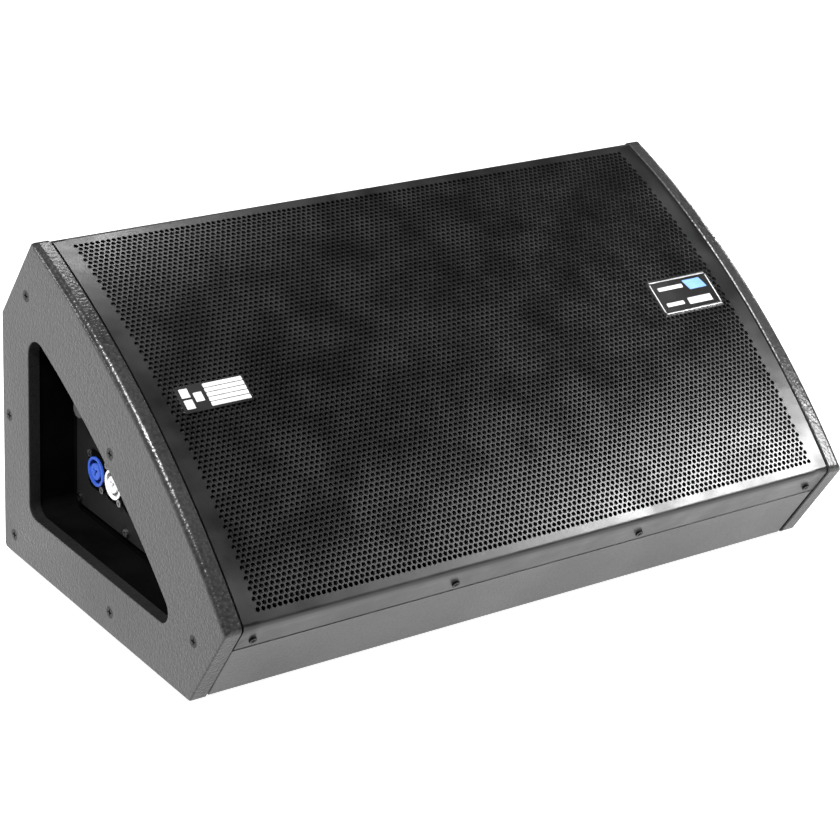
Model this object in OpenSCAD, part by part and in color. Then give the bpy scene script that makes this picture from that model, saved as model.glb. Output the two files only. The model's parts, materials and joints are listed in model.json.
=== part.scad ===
// Stage monitor wedge: a floor loudspeaker with a curved steel grille, two side
// plates that carry a connector recess and a hand hold, and a coaxial driver.
// X runs across the cabinet, the grille faces -Y and +Z, and Z = 0 is the floor.

/* [Cabinet] */
// Width over the two side plates
body_w = 586; // [480:1:720]
// Depth of the underside
base_d = 290; // [240:1:350]
// Forward reach of the nose, measured from the back
nose_d = 338; // [290:1:400]
// Height of the nose
nose_h = 76; // [60:1:100]
// Height of the upright back
back_h = 200.5; // [160:0.5:250]
// Distance of the crown from the back
crown_d = 51; // [40:1:75]
// Height of the crown
crown_h = 274; // [230:1:330]
// Radius of the bowed front
front_r = 746; // [600:1:1100]
// Thickness of a side plate
side_t = 14; // [11:0.5:20]
// Thickness of the cabinet panels
wall_t = 12; // [9:0.5:16]
// Thickness of the baffle
baffle_t = 15; // [12:0.5:19]
// Round-over of the side plates along the bowed front
edge_r = 6; // [3:0.5:8]
// Radius of the nose and crown corners in profile
corner_r = 6; // [4:0.5:10]
// How far the panels stand back from the plate edges
skin_in = 1; // [0.5:0.1:2]
// Width of the square battens behind the panels
batten = 18; // [14:1:24]

/* [Side openings] */
// Distance of the opening from the back of the plate
open_back = 43.5; // [36:0.5:60]
// Height of the lower edge of the opening
open_floor = 45; // [38:0.5:60]
// Width of the plate between the opening and the bowed front
open_band = 69; // [64:0.5:90]
// Radius of the opening's two lower corners
open_r = 11; // [8:0.5:16]
// Radius of the opening's top corner
open_top_r = 15; // [9:0.5:18]
// Depth of the connector panel below the outer face
panel_depth = 37.5; // [30:0.5:50]
// Depth of the hand hold below the outer face
grip_depth = 56; // [45:1:70]
// Wall of the moulded pockets
pocket_t = 3; // [2:0.5:4]
// Depth of the plate's inner rebate that takes a pocket flange
rebate_t = 4.5; // [3:0.5:6]

/* [Grille] */
// Sheet thickness of the grille
grille_t = 1.5; // [1:0.1:2]
// Shadow gap between grille and side plate
grille_gap = 1.7; // [1:0.1:3]
// Length of the folded edges
fold_l = 28; // [22:0.5:32]
// Thickness of the foam behind the grille
foam_t = 5; // [3:0.5:7]
// Depth of the baffle face below the straight line from crown to nose
baffle_set = 12; // [10:0.5:16]
// Size of the left badge along the width and along the bow
badge_a = [58, 22]; // [10:1:90]
// Size of the right badge along the width and along the bow
badge_b = [64, 33]; // [10:1:90]
// Distance of both badges from the middle
badge_x = 225; // [150:1:230]

/* [Driver] */
// Outside diameter of the driver's frame
driver_d = 308; // [270:1:312]
// Voice coil former diameter
coil_d = 76; // [60:1:90]
// Outward and inward travel of the cone
cone_travel = 4; // [2:0.5:5]
// Diameter of the port tubes
port_d = 48; // [36:1:50]

/* [Connectors] */
// Diameter of a connector insert
jack_d = 24; // [22:0.5:24.5]
// Distance from one connector to the next
jack_pitch = 27; // [26.5:0.5:30]
// Place of the first connector, from the back and from the underside
jack_at = [86.5, 92];
// Diameter of the level knob
knob_d = 16; // [12:1:20]
// Travel of the preset button
button_travel = 1.5; // [1:0.1:2]
// Travel of the connector's release tab
latch_travel = 2; // [1:0.1:2.5]

/* [Feet] */
// Diameter of a rubber foot
foot_d = 30; // [20:1:40]
// Height of a rubber foot
foot_h = 5; // [4:0.5:12]

/* [Hidden] */
$fn = 64;
clear = 0.15;              // play round a screw shank
tiny = 0.05;               // running play of a shaft in its bore
seat_gap = 0.3;            // space between soft pieces and their neighbours
rise = foot_h - skin_in;   // height of the plates' lower edge above the floor
outer_x = body_w / 2;
inner_x = outer_x - side_t;

// Directions and lines of the profile, drawn as [distance from back, height].
back_low = [0, 0];
nose_low = [base_d, 0];
nose = [nose_d, nose_h];
crown = [crown_d, crown_h];
back_top = [0, back_h];
function unit(v) = v / norm(v);
function left_of(v) = [-v.y, v.x];
function meet(a, b) = a[0] + a[1] * cross(b[0] - a[0], b[1]) / cross(a[1], b[1]);
chord = nose - crown;
front_l = norm(chord);
along = unit(chord);
out = left_of(along);
tilt = atan2(out.x, out.y);
bow = front_r - sqrt(front_r * front_r - front_l * front_l / 4);
bow_c = (nose + crown) / 2 + out * (bow - front_r);
function on_face(s, n) = crown + s * along + n * out;
rear_dir = unit(crown - back_top);
nose_dir = unit(nose - nose_low);
function rear_line(d) = [back_top - left_of(rear_dir) * d, rear_dir];
function nose_line(d) = [nose_low + left_of(nose_dir) * d, nose_dir];
function deck_line(n) = [on_face(0, n), along];
function base_line(d) = [[0, d], [1, 0]];
function back_line(d) = [[d, 0], [0, 1]];
// Where a line leaves the circle of radius r round c.
function leave(l, c, r) = let (b = l[1] * (l[0] - c))
    l[0] + l[1] * (sqrt(b * b - (l[0] - c) * (l[0] - c) + r * r) - b);
nose_fc = leave(nose_line(corner_r), bow_c, front_r - corner_r);
crown_fc = leave(rear_line(corner_r), bow_c, front_r - corner_r);
mid_d = (nose_fc.x + corner_r) / 2;

wall_in = skin_in + wall_t;
batten_in = wall_in + batten;
fold_in = skin_in + grille_t + 0.2;
deck_back = -baffle_set - baffle_t;

// Draws a profile shape as a slab from x0 to x1.
module across(x0, x1) {
    translate([x1, mid_d, rise])
        rotate([90, 0, -90])
            linear_extrude(x1 - x0)
                children();
}

// Places children on a plane of constant X, with their +Z towards -X.
module facing_left(x, p) {
    translate([x, mid_d - p.x, rise + p.y])
        rotate([90, 0, -90])
            children();
}

// Places children on the baffle's front face, with their +Z outwards.
module on_baffle(x = 0, y = 0, z = 0) {
    p = on_face(front_l / 2, -baffle_set);
    translate([0, mid_d - p.x, rise + p.y])
        rotate([tilt, 0, 0])
            translate([x, y, z])
                children();
}

module both_sides() {
    children();
    mirror([1, 0, 0])
        children();
}

// The part of a corner that lies outside its fillet.
// The round is a hair over size, so that it crosses the two sides instead of just touching them.
corner_lap = 0.05;
module corner_trim(fc, a, b, tip, r) {
    difference() {
        polygon([fc, fc + (a - fc) * 1.3, fc + (tip - fc) * 1.6, fc + (b - fc) * 1.3]);
        translate(fc)
            circle(r + corner_lap);
    }
}

module line_corner_trim(tip, d1, d2, r) {
    fc = tip + unit(d1 + d2) * r / sqrt((1 - d1 * d2) / 2);
    corner_trim(fc, tip + d1 * ((fc - tip) * d1), tip + d2 * ((fc - tip) * d2), tip, r);
}

// Side profile, drawn d inside the outline.
module profile(d = 0, spare = 0) {
    reach = 1.5;
    difference() {
        intersection() {
            translate(bow_c)
                circle(front_r - d + spare, $fn = 360);
            polygon([meet(back_line(d), base_line(d)), meet(base_line(d), nose_line(d)),
                nose_line(d)[0] + reach * (nose - nose_low),
                rear_line(d)[0] + reach * (crown - back_top),
                meet(rear_line(d), back_line(d))]);
        }
        corner_trim(nose_fc, nose_fc - left_of(nose_dir) * corner_r,
            bow_c + unit(nose_fc - bow_c) * front_r, nose, corner_r - d);
        corner_trim(crown_fc, crown_fc + left_of(rear_dir) * corner_r,
            bow_c + unit(crown_fc - bow_c) * front_r, crown, corner_r - d);
    }
}

plate_corner_r = 4;

// Outline of a side plate; the bowed edge is finished by bowed_edge().
module plate_outline() {
    difference() {
        profile(spare = 1);
        line_corner_trim(back_low, [1, 0], [0, 1], plate_corner_r);
        line_corner_trim(nose_low, [-1, 0], nose_dir, plate_corner_r);
        line_corner_trim(back_top, [0, -1], rear_dir, plate_corner_r);
    }
}

// Outline of the side opening, drawn g outside its edge.
open_arc = front_r - open_band;
module opening(g = 0) {
    r = max(open_r + g, 3);
    top_r = max(open_top_r + g, 3);
    arc = open_arc + g;
    floor_l = [[0, open_floor - g + r], [1, 0]];
    back_l = [[open_back - g + r, 0], [0, 1]];
    tip_c = leave(floor_l, bow_c, arc - r);
    top_c = leave([[open_back - g + top_r, 0], [0, 1]], bow_c, arc - top_r);
    low_c = meet(floor_l, back_l);
    difference() {
        intersection() {
            translate(bow_c)
                circle(arc, $fn = 360);
            translate([open_back - g, open_floor - g])
                square([nose_d, crown_h]);
        }
        corner_trim(tip_c, tip_c - [0, r], bow_c + unit(tip_c - bow_c) * arc,
            leave([[0, open_floor - g], [1, 0]], bow_c, arc), r);
        corner_trim(top_c, top_c - [top_r, 0], bow_c + unit(top_c - bow_c) * arc,
            leave([[open_back - g, 0], [0, 1]], bow_c, arc), top_r);
        corner_trim(low_c, low_c - [0, r], low_c - [r, 0],
            [open_back - g, open_floor - g], r);
    }
}

/* Screws */
plate_screw_r = 2;
plate_head_r = 4.6;
plate_head_h = 2.8;
plate_screw_l = 30;
small_r = 1.6;
small_head_r = 3.2;
small_head_h = 1.8;

// Countersunk screw whose head face is at Z = 0 and whose shank runs down.
module csk_screw(r, head_r, head_h, l) {
    difference() {
        union() {
            translate([0, 0, -head_h])
                cylinder(h = head_h, r1 = r, r2 = head_r);
            translate([0, 0, -l])
                cylinder(h = l - head_h, r = r);
        }
        cross_slot(head_r, head_h * 0.6);
    }
}

module csk_hole(r, head_r, head_h, l) {
    translate([0, 0, -head_h])
        cylinder(h = head_h + 1, r1 = r + clear, r2 = (head_r - r) / head_h + head_r + clear);
    translate([0, 0, -l - clear])
        cylinder(h = l, r = r + clear);
}

// Pan-head screw seated on Z = 0.
module pan_screw(r, head_r, head_h, l) {
    difference() {
        union() {
            cylinder(h = head_h, r = head_r);
            translate([0, 0, -l])
                cylinder(h = l, r = r);
        }
        translate([0, 0, head_h])
            cross_slot(head_r, head_h * 0.6);
    }
}

module cross_slot(head_r, depth) {
    slot_w = head_r * 0.28;
    for (turn = [0, 90])
        rotate(turn)
            translate([-head_r * 0.6, -slot_w / 2, -depth])
                cube([head_r * 1.2, slot_w, depth + 1]);
}

module screw_hole(r, l, above = 1) {
    translate([0, 0, -l - clear])
        cylinder(h = l + clear + above, r = r + clear);
}

/* Side plates */
batten_seat = 18.5;        // plate screws into the battens, from the outline
nose_seat = 24;
plate_screw_at = [
    (back_top + crown) / 2 - left_of(rear_dir) * batten_seat,
    [skin_in + wall_t * 0.8, back_h * 0.587],
    [wall_in + 4, wall_in + 4],
    [base_d * 0.594, batten_seat],
    (nose_low + nose) / 2 + left_of(nose_dir) * nose_seat,
    on_face(front_l * 0.49, deck_back - 8.5)];

// Everything under a rounded-over outer edge along the bowed front.
module bowed_edge() {
    translate([0, mid_d - bow_c.x, rise + bow_c.y])
        rotate([0, -90, 0])
            rotate_extrude($fn = 360)
                difference() {
                    square([front_r, outer_x]);
                    translate([front_r - edge_r, outer_x - edge_r])
                        difference() {
                            square(edge_r + 1);
                            circle(edge_r);
                        }
                }
}

module left_plate(rebated) {
    difference() {
        intersection() {
            across(-outer_x, -inner_x)
                plate_outline();
            bowed_edge();
        }
        across(-outer_x - 1, -inner_x + 1)
            opening();
        across(-inner_x - rebate_t, -inner_x + 1)
            opening(rebate_w + 1);
        for (p = plate_screw_at)
            facing_left(-outer_x, p)
                csk_hole(plate_screw_r, plate_head_r, plate_head_h, plate_screw_l);
        for (p = pocket_screw_at)
            facing_left(-inner_x, p)
                translate([0, 0, rebate_t])
                    screw_hole(small_r, 0, pocket_bite);
    }
}

rebate_w = 14;             // width of a pocket's flange round the opening
pocket_bite = 6;           // depth of the pocket screws in the plate
flange_mid = 9;
pocket_screw_at = [
    [open_back - flange_mid, open_floor + 10],
    [open_back - flange_mid, (open_floor + back_h) / 2],
    [open_back + 40, open_floor - flange_mid],
    [base_d * 0.68, open_floor - flange_mid],
    bow_c + (open_arc + flange_mid) * [sin(tilt + 9.5), cos(tilt + 9.5)],
    bow_c + (open_arc + flange_mid) * [sin(tilt - 9.5), cos(tilt - 9.5)]];

module left_side_plate() {
    color("dimgray")
        left_plate();
}

module right_side_plate() {
    color("dimgray")
        mirror([1, 0, 0])
            left_plate();
}

module side_plate_screws() {
    color("black")
        both_sides()
            for (p = plate_screw_at)
                facing_left(-outer_x, p)
                    csk_screw(plate_screw_r, plate_head_r, plate_head_h, plate_screw_l);
}

/* Cabinet box */
module plate_screw_holes() {
    both_sides()
        for (p = plate_screw_at)
            facing_left(-outer_x, p)
                screw_hole(plate_screw_r, plate_screw_l, 0);
}

module back_panel() {
    color("dimgray")
        difference() {
            across(-inner_x, inner_x)
                polygon([meet(back_line(skin_in), base_line(skin_in)),
                    meet(back_line(wall_in), base_line(skin_in)),
                    meet(back_line(wall_in), rear_line(wall_in)),
                    meet(back_line(skin_in), rear_line(skin_in))]);
            plate_screw_holes();
        }
}

module top_panel() {
    color("dimgray")
        across(-inner_x, inner_x)
            polygon([meet(back_line(skin_in), rear_line(skin_in)),
                meet(back_line(wall_in), rear_line(wall_in)),
                meet(rear_line(wall_in), deck_line(deck_back)),
                meet(rear_line(fold_in), deck_line(deck_back)),
                meet(rear_line(fold_in), deck_line(-fold_l - groove)),
                meet(rear_line(skin_in), deck_line(-fold_l - groove))]);
}

groove = 1.6;              // shadow groove between a fold and its panel

module bottom_panel() {
    color("dimgray")
        difference() {
            across(-inner_x, inner_x)
                polygon([meet(back_line(wall_in), base_line(skin_in)),
                    meet(nose_line(wall_in), base_line(skin_in)),
                    meet(nose_line(wall_in), base_line(wall_in)),
                    meet(back_line(wall_in), base_line(wall_in))]);
            for_each_foot()
                translate([0, 0, foot_screw_z])
                    mirror([0, 0, 1])
                        screw_hole(foot_screw_r, foot_screw_l);
        }
}

module front_lower_panel() {
    reveal = 3;
    color("gray")
        difference() {
            across(-inner_x, inner_x)
                polygon([meet(nose_line(skin_in), base_line(skin_in)),
                    meet(nose_line(skin_in), deck_line(-fold_l - groove)),
                    meet(nose_line(fold_in), deck_line(-fold_l - groove)),
                    meet(nose_line(fold_in), deck_line(deck_back)),
                    meet(nose_line(wall_in), deck_line(deck_back)),
                    meet(nose_line(wall_in), base_line(skin_in))]);
            both_sides()
                across(inner_x - grille_gap, inner_x + 1)
                    polygon([meet(nose_line(-1), base_line(-1)),
                        meet(nose_line(-1), deck_line(1)),
                        meet(nose_line(skin_in + reveal), deck_line(1)),
                        meet(nose_line(skin_in + reveal), base_line(-1))]);
        }
}

driver_r = driver_d / 2;
cutout_r = driver_r - 12;
flange_t = 5;
driver_bolt_r = driver_r - 4;
driver_screws = 8;
driver_screw_r = 2.2;
driver_screw_l = 16;
port_r = port_d / 2;
port_t = 2;
port_lip = 3;
port_at = [132, 128];

module baffle() {
    color("tan")
        difference() {
            across(-inner_x, inner_x)
                polygon([meet(rear_line(fold_in), deck_line(-baffle_set)),
                    meet(rear_line(fold_in), deck_line(deck_back)),
                    meet(nose_line(fold_in), deck_line(deck_back)),
                    meet(nose_line(fold_in), deck_line(-baffle_set))]);
            on_baffle(z = -baffle_t - 1)
                cylinder(h = baffle_t + 2, r = cutout_r + 0.5, $fn = 180);
            on_baffle(z = -flange_t)
                cylinder(h = flange_t + 1, r = driver_r + 1, $fn = 180);
            for (side = [-1, 1])
                on_baffle(side * port_at.x, port_at.y) {
                    translate([0, 0, -baffle_t - 1])
                        cylinder(h = baffle_t + 2, r = port_r + port_t + clear);
                    translate([0, 0, -port_t])
                        cylinder(h = port_t + 1, r = port_r + port_t + port_lip + clear);
                }
            for (i = [0 : driver_screws - 1])
                on_baffle(z = -flange_t)
                    rotate((i + 0.5) * 360 / driver_screws)
                        translate([driver_bolt_r, 0, 0])
                            screw_hole(driver_screw_r, driver_screw_l - flange_t);
            for_each_grille_screw()
                screw_hole(small_r, grille_screw_l);
        }
}

module side_battens() {
    color("burlywood")
        both_sides()
            difference() {
                across(inner_x - batten, inner_x) {
                    polygon([meet(back_line(wall_in), base_line(wall_in)),
                        meet(nose_line(wall_in), base_line(wall_in)),
                        meet(nose_line(wall_in), base_line(batten_in)),
                        meet(back_line(wall_in), base_line(batten_in))]);
                    polygon([meet(nose_line(wall_in), base_line(wall_in)),
                        meet(nose_line(wall_in), deck_line(deck_back)),
                        meet(nose_line(batten_in), deck_line(deck_back)),
                        meet(nose_line(batten_in), base_line(wall_in))]);
                    polygon([meet(nose_line(wall_in), deck_line(deck_back)),
                        meet(rear_line(wall_in), deck_line(deck_back)),
                        meet(rear_line(wall_in), deck_line(deck_back - batten + 2)),
                        meet(nose_line(wall_in), deck_line(deck_back - batten + 2))]);
                    polygon([meet(rear_line(wall_in), deck_line(deck_back)),
                        meet(back_line(wall_in), rear_line(wall_in)),
                        meet(back_line(wall_in), rear_line(batten_in)),
                        meet(rear_line(batten_in), deck_line(deck_back))]);
                }
                across(inner_x - batten - 1, inner_x + 1)
                    opening(lap + pocket_t + pocket_play);
                mirror([1, 0, 0])
                    for (p = pocket_screw_at)
                        facing_left(-inner_x - 1, p)
                            mirror([0, 0, 1])
                                cylinder(h = small_head_h + 2, r = small_head_r + pocket_play);
                plate_screw_holes_right();
            }
}

module plate_screw_holes_right() {
    mirror([1, 0, 0])
        for (p = plate_screw_at)
            facing_left(-outer_x, p)
                screw_hole(plate_screw_r, plate_screw_l, 0);
}

/* Feet */
foot_screw_r = 2;
foot_screw_l = 14;
foot_head_r = 4;
foot_head_h = 2;
foot_sink = 2.6;
foot_screw_z = foot_sink + foot_head_h;
foot_inset = [40, 38];
module for_each_foot() {
    for (sx = [-1, 1])
        for (d = [foot_inset.y, base_d - foot_inset.y - 10])
            translate([sx * (inner_x - foot_inset.x), mid_d - d, 0])
                children();
}

module rubber_feet() {
    color("black")
        for_each_foot()
            difference() {
                cylinder(h = foot_h, r1 = foot_d / 2 - 1.5, r2 = foot_d / 2);
                translate([0, 0, -1])
                    cylinder(h = foot_screw_z + 1, r = foot_head_r + 1);
                translate([0, 0, -1])
                    cylinder(h = foot_h + 2, r = foot_screw_r + clear);
            }
}

module foot_screws() {
    color("silver")
        for_each_foot()
            translate([0, 0, foot_screw_z])
                mirror([0, 0, 1])
                    pan_screw(foot_screw_r, foot_head_r, foot_head_h, foot_screw_l);
}

/* Grille */
grille_screw_l = 12;
grille_screw_n = 4;
grille_x = inner_x - grille_gap;
module for_each_grille_screw() {
    p = meet(nose_line(skin_in), deck_line(-baffle_set - baffle_t / 2));
    pitch = (2 * grille_x - 26) / (grille_screw_n - 1);
    for (i = [0 : grille_screw_n - 1])
        translate([(i - (grille_screw_n - 1) / 2) * pitch, mid_d - p.x, rise + p.y])
            rotate([90 + atan2(nose_dir.x, nose_dir.y), 0, 0])
                children();
}

module grille() {
    color("black")
        difference() {
            across(-grille_x, grille_x)
                difference() {
                    profile(skin_in);
                    profile(skin_in + grille_t);
                    polygon([meet(rear_line(-5), deck_line(-fold_l)),
                        meet(nose_line(-5), deck_line(-fold_l)),
                        meet(nose_line(-5), base_line(-5)),
                        meet(back_line(-5), base_line(-5)),
                        meet(back_line(-5), rear_line(-5))]);
                }
            for_each_grille_screw()
                screw_hole(small_r, grille_t + 1);
        }
}

module grille_foam() {
    hug = skin_in + grille_t + seat_gap;
    edge = 9;
    color("darkslategray")
        across(-grille_x + 3, grille_x - 3)
            intersection() {
                difference() {
                    translate(bow_c)
                        circle(front_r - hug, $fn = 360);
                    translate(bow_c)
                        circle(front_r - hug - foam_t, $fn = 360);
                }
                polygon([on_face(edge, -baffle_set + seat_gap), on_face(edge, 2 * bow),
                    on_face(front_l - edge, 2 * bow),
                    on_face(front_l - edge, -baffle_set + seat_gap)]);
            }
}

module grille_screws() {
    color("black")
        for_each_grille_screw()
            pan_screw(small_r, small_head_r, 1.2, grille_screw_l);
}

badge_t = 1.4;
badge_up = 0.51;           // place of the badges along the bow, from the nose
half_bow = asin(front_l / 2 / front_r);
badge_lift = tiny * 2;
module badge_plate(x, size) {
    turn = half_bow * (1 - 2 * badge_up);
    half = size.y / 2 / front_r * 180 / PI;
    far = front_r * 1.1;
    r0 = front_r - skin_in + badge_lift;
    across(x - size.x / 2, x + size.x / 2)
        intersection() {
            difference() {
                translate(bow_c)
                    circle(r0 + badge_t, $fn = 360);
                translate(bow_c)
                    circle(r0, $fn = 360);
            }
            polygon([bow_c, bow_c + far * [sin(tilt + turn - half), cos(tilt + turn - half)],
                bow_c + far * [sin(tilt + turn + half), cos(tilt + turn + half)]]);
        }
}

module left_badge() {
    color("silver")
        badge_plate(-badge_x, badge_a);
}

module right_badge() {
    color("silver")
        badge_plate(badge_x, badge_b);
}

/* Ports */
module port_tubes() {
    tube_l = 50;
    color("black")
        for (side = [-1, 1])
            on_baffle(side * port_at.x, port_at.y)
                difference() {
                    union() {
                        translate([0, 0, -tube_l])
                            cylinder(h = tube_l, r = port_r + port_t);
                        translate([0, 0, -port_t])
                            cylinder(h = port_t, r = port_r + port_t + port_lip);
                    }
                    translate([0, 0, -tube_l - 1])
                        cylinder(h = tube_l + 2, r = port_r);
                }
}

/* Driver: heights are measured from the back of its flange, out of the cabinet */
coil_r = coil_d / 2;
seat_z = -66;              // where the frame meets the magnet's top plate
frame_t = 4;
cone_rim_z = flange_t - 1;
cone_rim_r = driver_r - 26;
roll_r = (cutout_r - frame_t - cone_rim_r - 2) / 2;
former_t = 0.5;
winding_t = 0.8;
gap_play = 0.9;
former_low = -80;
neck_z = -48;
top_plate_t = 8;
winding_l = top_plate_t + 1.5 * cone_travel;
magnet_t = 18;
back_plate_t = 8;
pole_r = coil_r - gap_play;
throat_r = 18;
magnet_r = 68;
spider_z = -58;
spider_r = 70;

module in_driver(z = 0) {
    on_baffle(z = z - flange_t)
        children();
}

module woofer_basket() {
    windows = 6;
    window_w = 76;
    color("dimgray")
        in_driver()
            difference() {
                rotate_extrude($fn = 180)
                    polygon([[cutout_r - frame_t, flange_t], [driver_r, flange_t], [driver_r, 0],
                        [cutout_r, 0], [cutout_r - 8, -18], [spider_r + 14, seat_z],
                        [coil_r + 6, seat_z], [coil_r + 6, seat_z + frame_t],
                        [spider_r - 4, seat_z + frame_t], [spider_r - 4, spider_z],
                        [spider_r + 4, spider_z], [spider_r + 10, seat_z + frame_t + 2],
                        [cutout_r - 12, -18]]);
                for (i = [0 : windows - 1])
                    rotate(i * 360 / windows)
                        translate([spider_r + 14, -window_w / 2, -52])
                            cube([cutout_r, window_w, 32]);
                driver_screw_ring()
                    screw_hole(driver_screw_r, flange_t + 1);
            }
}

module driver_screw_ring() {
    for (i = [0 : driver_screws - 1])
        rotate((i + 0.5) * 360 / driver_screws)
            translate([driver_bolt_r, 0, flange_t])
                children();
}

module woofer_top_plate() {
    color("gray")
        in_driver(seat_z - top_plate_t)
            difference() {
                cylinder(h = top_plate_t, r = magnet_r + 4, $fn = 128);
                translate([0, 0, -1])
                    cylinder(h = top_plate_t + 2, r = coil_r + former_t + winding_t + gap_play);
            }
}

module woofer_magnet() {
    color("darkslategray")
        in_driver(seat_z - top_plate_t - magnet_t)
            difference() {
                cylinder(h = magnet_t, r = magnet_r, $fn = 128);
                translate([0, 0, -1])
                    cylinder(h = magnet_t + 2, r = coil_r + 8);
            }
}

yoke_z = seat_z - top_plate_t - magnet_t;
module woofer_back_plate() {
    color("gray")
        in_driver()
            difference() {
                union() {
                    translate([0, 0, yoke_z - back_plate_t])
                        cylinder(h = back_plate_t, r = magnet_r + 2, $fn = 128);
                    translate([0, 0, yoke_z])
                        cylinder(h = seat_z - yoke_z, r = pole_r);
                }
                translate([0, 0, yoke_z - back_plate_t - 1])
                    cylinder(h = seat_z - yoke_z + back_plate_t + 2, r = throat_r);
            }
}

module compression_driver() {
    rear_l = 20;
    color("black")
        in_driver(yoke_z - back_plate_t) {
            translate([0, 0, -rear_l])
                cylinder(h = rear_l, r = 44, $fn = 96);
            translate([0, 0, -rear_l - 2])
                cylinder(h = 2, r = 26);
        }
}

module horn_flare() {
    wall = 2;
    color("black")
        in_driver()
            rotate_extrude()
                polygon([[throat_r, seat_z], [throat_r + 1, neck_z], [throat_r + 8, -34],
                    [throat_r + 22, -18], [throat_r + 40, -9], [throat_r + 40, -9 - wall],
                    [throat_r + 23, -18 - wall * 1.4], [throat_r + 10, -34 - wall],
                    [throat_r + 1 + wall, neck_z - wall], [throat_r + 5, seat_z + 6],
                    [throat_r + 12, seat_z + 6], [throat_r + 12, seat_z]]);
}

module woofer_cone() {
    wall = 1.4;
    neck_r = coil_r + former_t;
    color("dimgray")
        in_driver()
            rotate_extrude($fn = 180)
                polygon([[neck_r, neck_z - 3], [neck_r + 1.5, neck_z - 3],
                    [neck_r + 1.5, neck_z - wall], [cone_rim_r - 5, cone_rim_z - wall],
                    [cone_rim_r, cone_rim_z - wall], [cone_rim_r, cone_rim_z],
                    [cone_rim_r - 6, cone_rim_z], [neck_r + 1, neck_z], [neck_r, neck_z]]);
}

module voice_coil() {
    color("peru")
        in_driver()
            rotate_extrude($fn = 96)
                polygon([[coil_r, former_low], [coil_r + former_t, former_low],
                    [coil_r + former_t, former_low + 3],
                    [coil_r + former_t + winding_t, former_low + 3],
                    [coil_r + former_t + winding_t, former_low + 3 + winding_l],
                    [coil_r + former_t, former_low + 3 + winding_l],
                    [coil_r + former_t, neck_z + 2], [coil_r, neck_z + 2]]);
}

module woofer_surround() {
    wall = 0.8;
    z0 = cone_rim_z + seat_gap;
    roll_c = cone_rim_r + roll_r + 1;
    color("black")
        in_driver()
            rotate_extrude($fn = 180) {
                translate([cone_rim_r - 5, z0])
                    square([6 + wall / 2, wall]);
                difference() {
                    translate([roll_c, z0])
                        circle(roll_r + wall / 2);
                    translate([roll_c, z0])
                        circle(roll_r - wall / 2);
                    translate([roll_c - 2 * roll_r, z0 - 3 * roll_r])
                        square([4 * roll_r, 3 * roll_r]);
                }
                translate([roll_c + roll_r - wall / 2, flange_t])
                    square([driver_r - 8 - roll_c - roll_r, wall]);
                translate([roll_c + roll_r - wall / 2, z0])
                    square([wall, flange_t + wall - z0]);
            }
}

module woofer_spider() {
    wave = 1.6;
    turns = 4;
    r0 = coil_r + former_t + seat_gap;
    r1 = spider_r;
    steps = turns * 6;
    wall = 0.8;
    flat = 3;
    function ripple(i) = wave / 2 * (1 - cos(i * 360 * turns / steps));
    function at(i) = r0 + flat + (r1 - r0 - 2 * flat) * i / steps;
    color("goldenrod")
        in_driver(spider_z)
            rotate_extrude($fn = 96)
                polygon(concat([[r0, 0]], [for (i = [0 : steps]) [at(i), ripple(i)]],
                    [[r1, 0], [r1, wall]], [for (i = [steps : -1 : 0]) [at(i), ripple(i) + wall]],
                    [[r0, wall]]));
}

gasket_t = 2;
module woofer_gasket() {
    color("black")
        in_driver(flange_t + 0.8)
            difference() {
                cylinder(h = gasket_t, r = driver_r - 8, $fn = 128);
                translate([0, 0, -1])
                    cylinder(h = gasket_t + 2, r = cone_rim_r + 2 * roll_r + 2, $fn = 128);
            }
}

module woofer_screws() {
    color("black")
        in_driver()
            driver_screw_ring()
                pan_screw(driver_screw_r, 3.8, 2.4, driver_screw_l);
}

/* Speaker wiring: the terminals hang under the rim of the frame's seat */
panel_t = 2.5;
pocket_play = 0.5;
panel_x = -outer_x + panel_depth;
floor_x = panel_x + panel_t;
floor_back = floor_x + pocket_t;
cover_in = 68;
cover_t = 1.2;
cover_x = floor_back + cover_in;
wire_r = 2.5;
block = [9, 18, 9];
tab = [7, 5, 0.8];
block_x = -spider_r - 13;
tab_z = seat_z - block.z / 2;

module woofer_terminals() {
    color("gold")
        in_driver() {
            translate([block_x, -block.y / 2, seat_z - block.z])
                cube(block);
            for (y = [-block.y / 4, block.y / 4])
                translate([block_x - tab.x, y - tab.y / 2, tab_z])
                    cube(tab);
        }
}

// The tabs in the cabinet's own frame.
tab_at = let (p = on_face(front_l / 2, -baffle_set - flange_t + tab_z))
    [block_x - tab.x, mid_d - p.x, rise + p.y];
board_gap = 22;
board_t = 1.6;
board_x = floor_back + board_gap;
board_in = board_x + board_t;

module speaker_cable() {
    sag = [0, 2, -9];
    cover_end = [cover_x + 14, tab_at.y, tab_at.z];
    start = [board_in + seat_gap + wire_r, tab_at.y, tab_at.z];
    tip = tab_at - [seat_gap + wire_r, 0, 0];
    low = (cover_end + tip) / 2 + sag;
    route = [start, cover_end, low, tip];
    color("black")
        for (i = [1 : len(route) - 1])
            hull()
                for (p = [route[i - 1], route[i]])
                    translate(p)
                        rotate([0, 90, 0])
                            sphere(wire_r, $fn = 24);
}

module cable_grommet() {
    lip = 2;
    color("black")
        translate([cover_x, tab_at.y, tab_at.z])
            rotate([0, 90, 0])
                difference() {
                    union() {
                        cylinder(h = lip, r = wire_r + 4);
                        translate([0, 0, -cover_t])
                            cylinder(h = cover_t, r = wire_r + 2);
                        translate([0, 0, -cover_t - lip])
                            cylinder(h = lip, r = wire_r + 4);
                    }
                    translate([0, 0, -lip - cover_t - 1])
                        cylinder(h = 2 * lip + cover_t + 2, r = wire_r + clear);
                }
}

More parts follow.
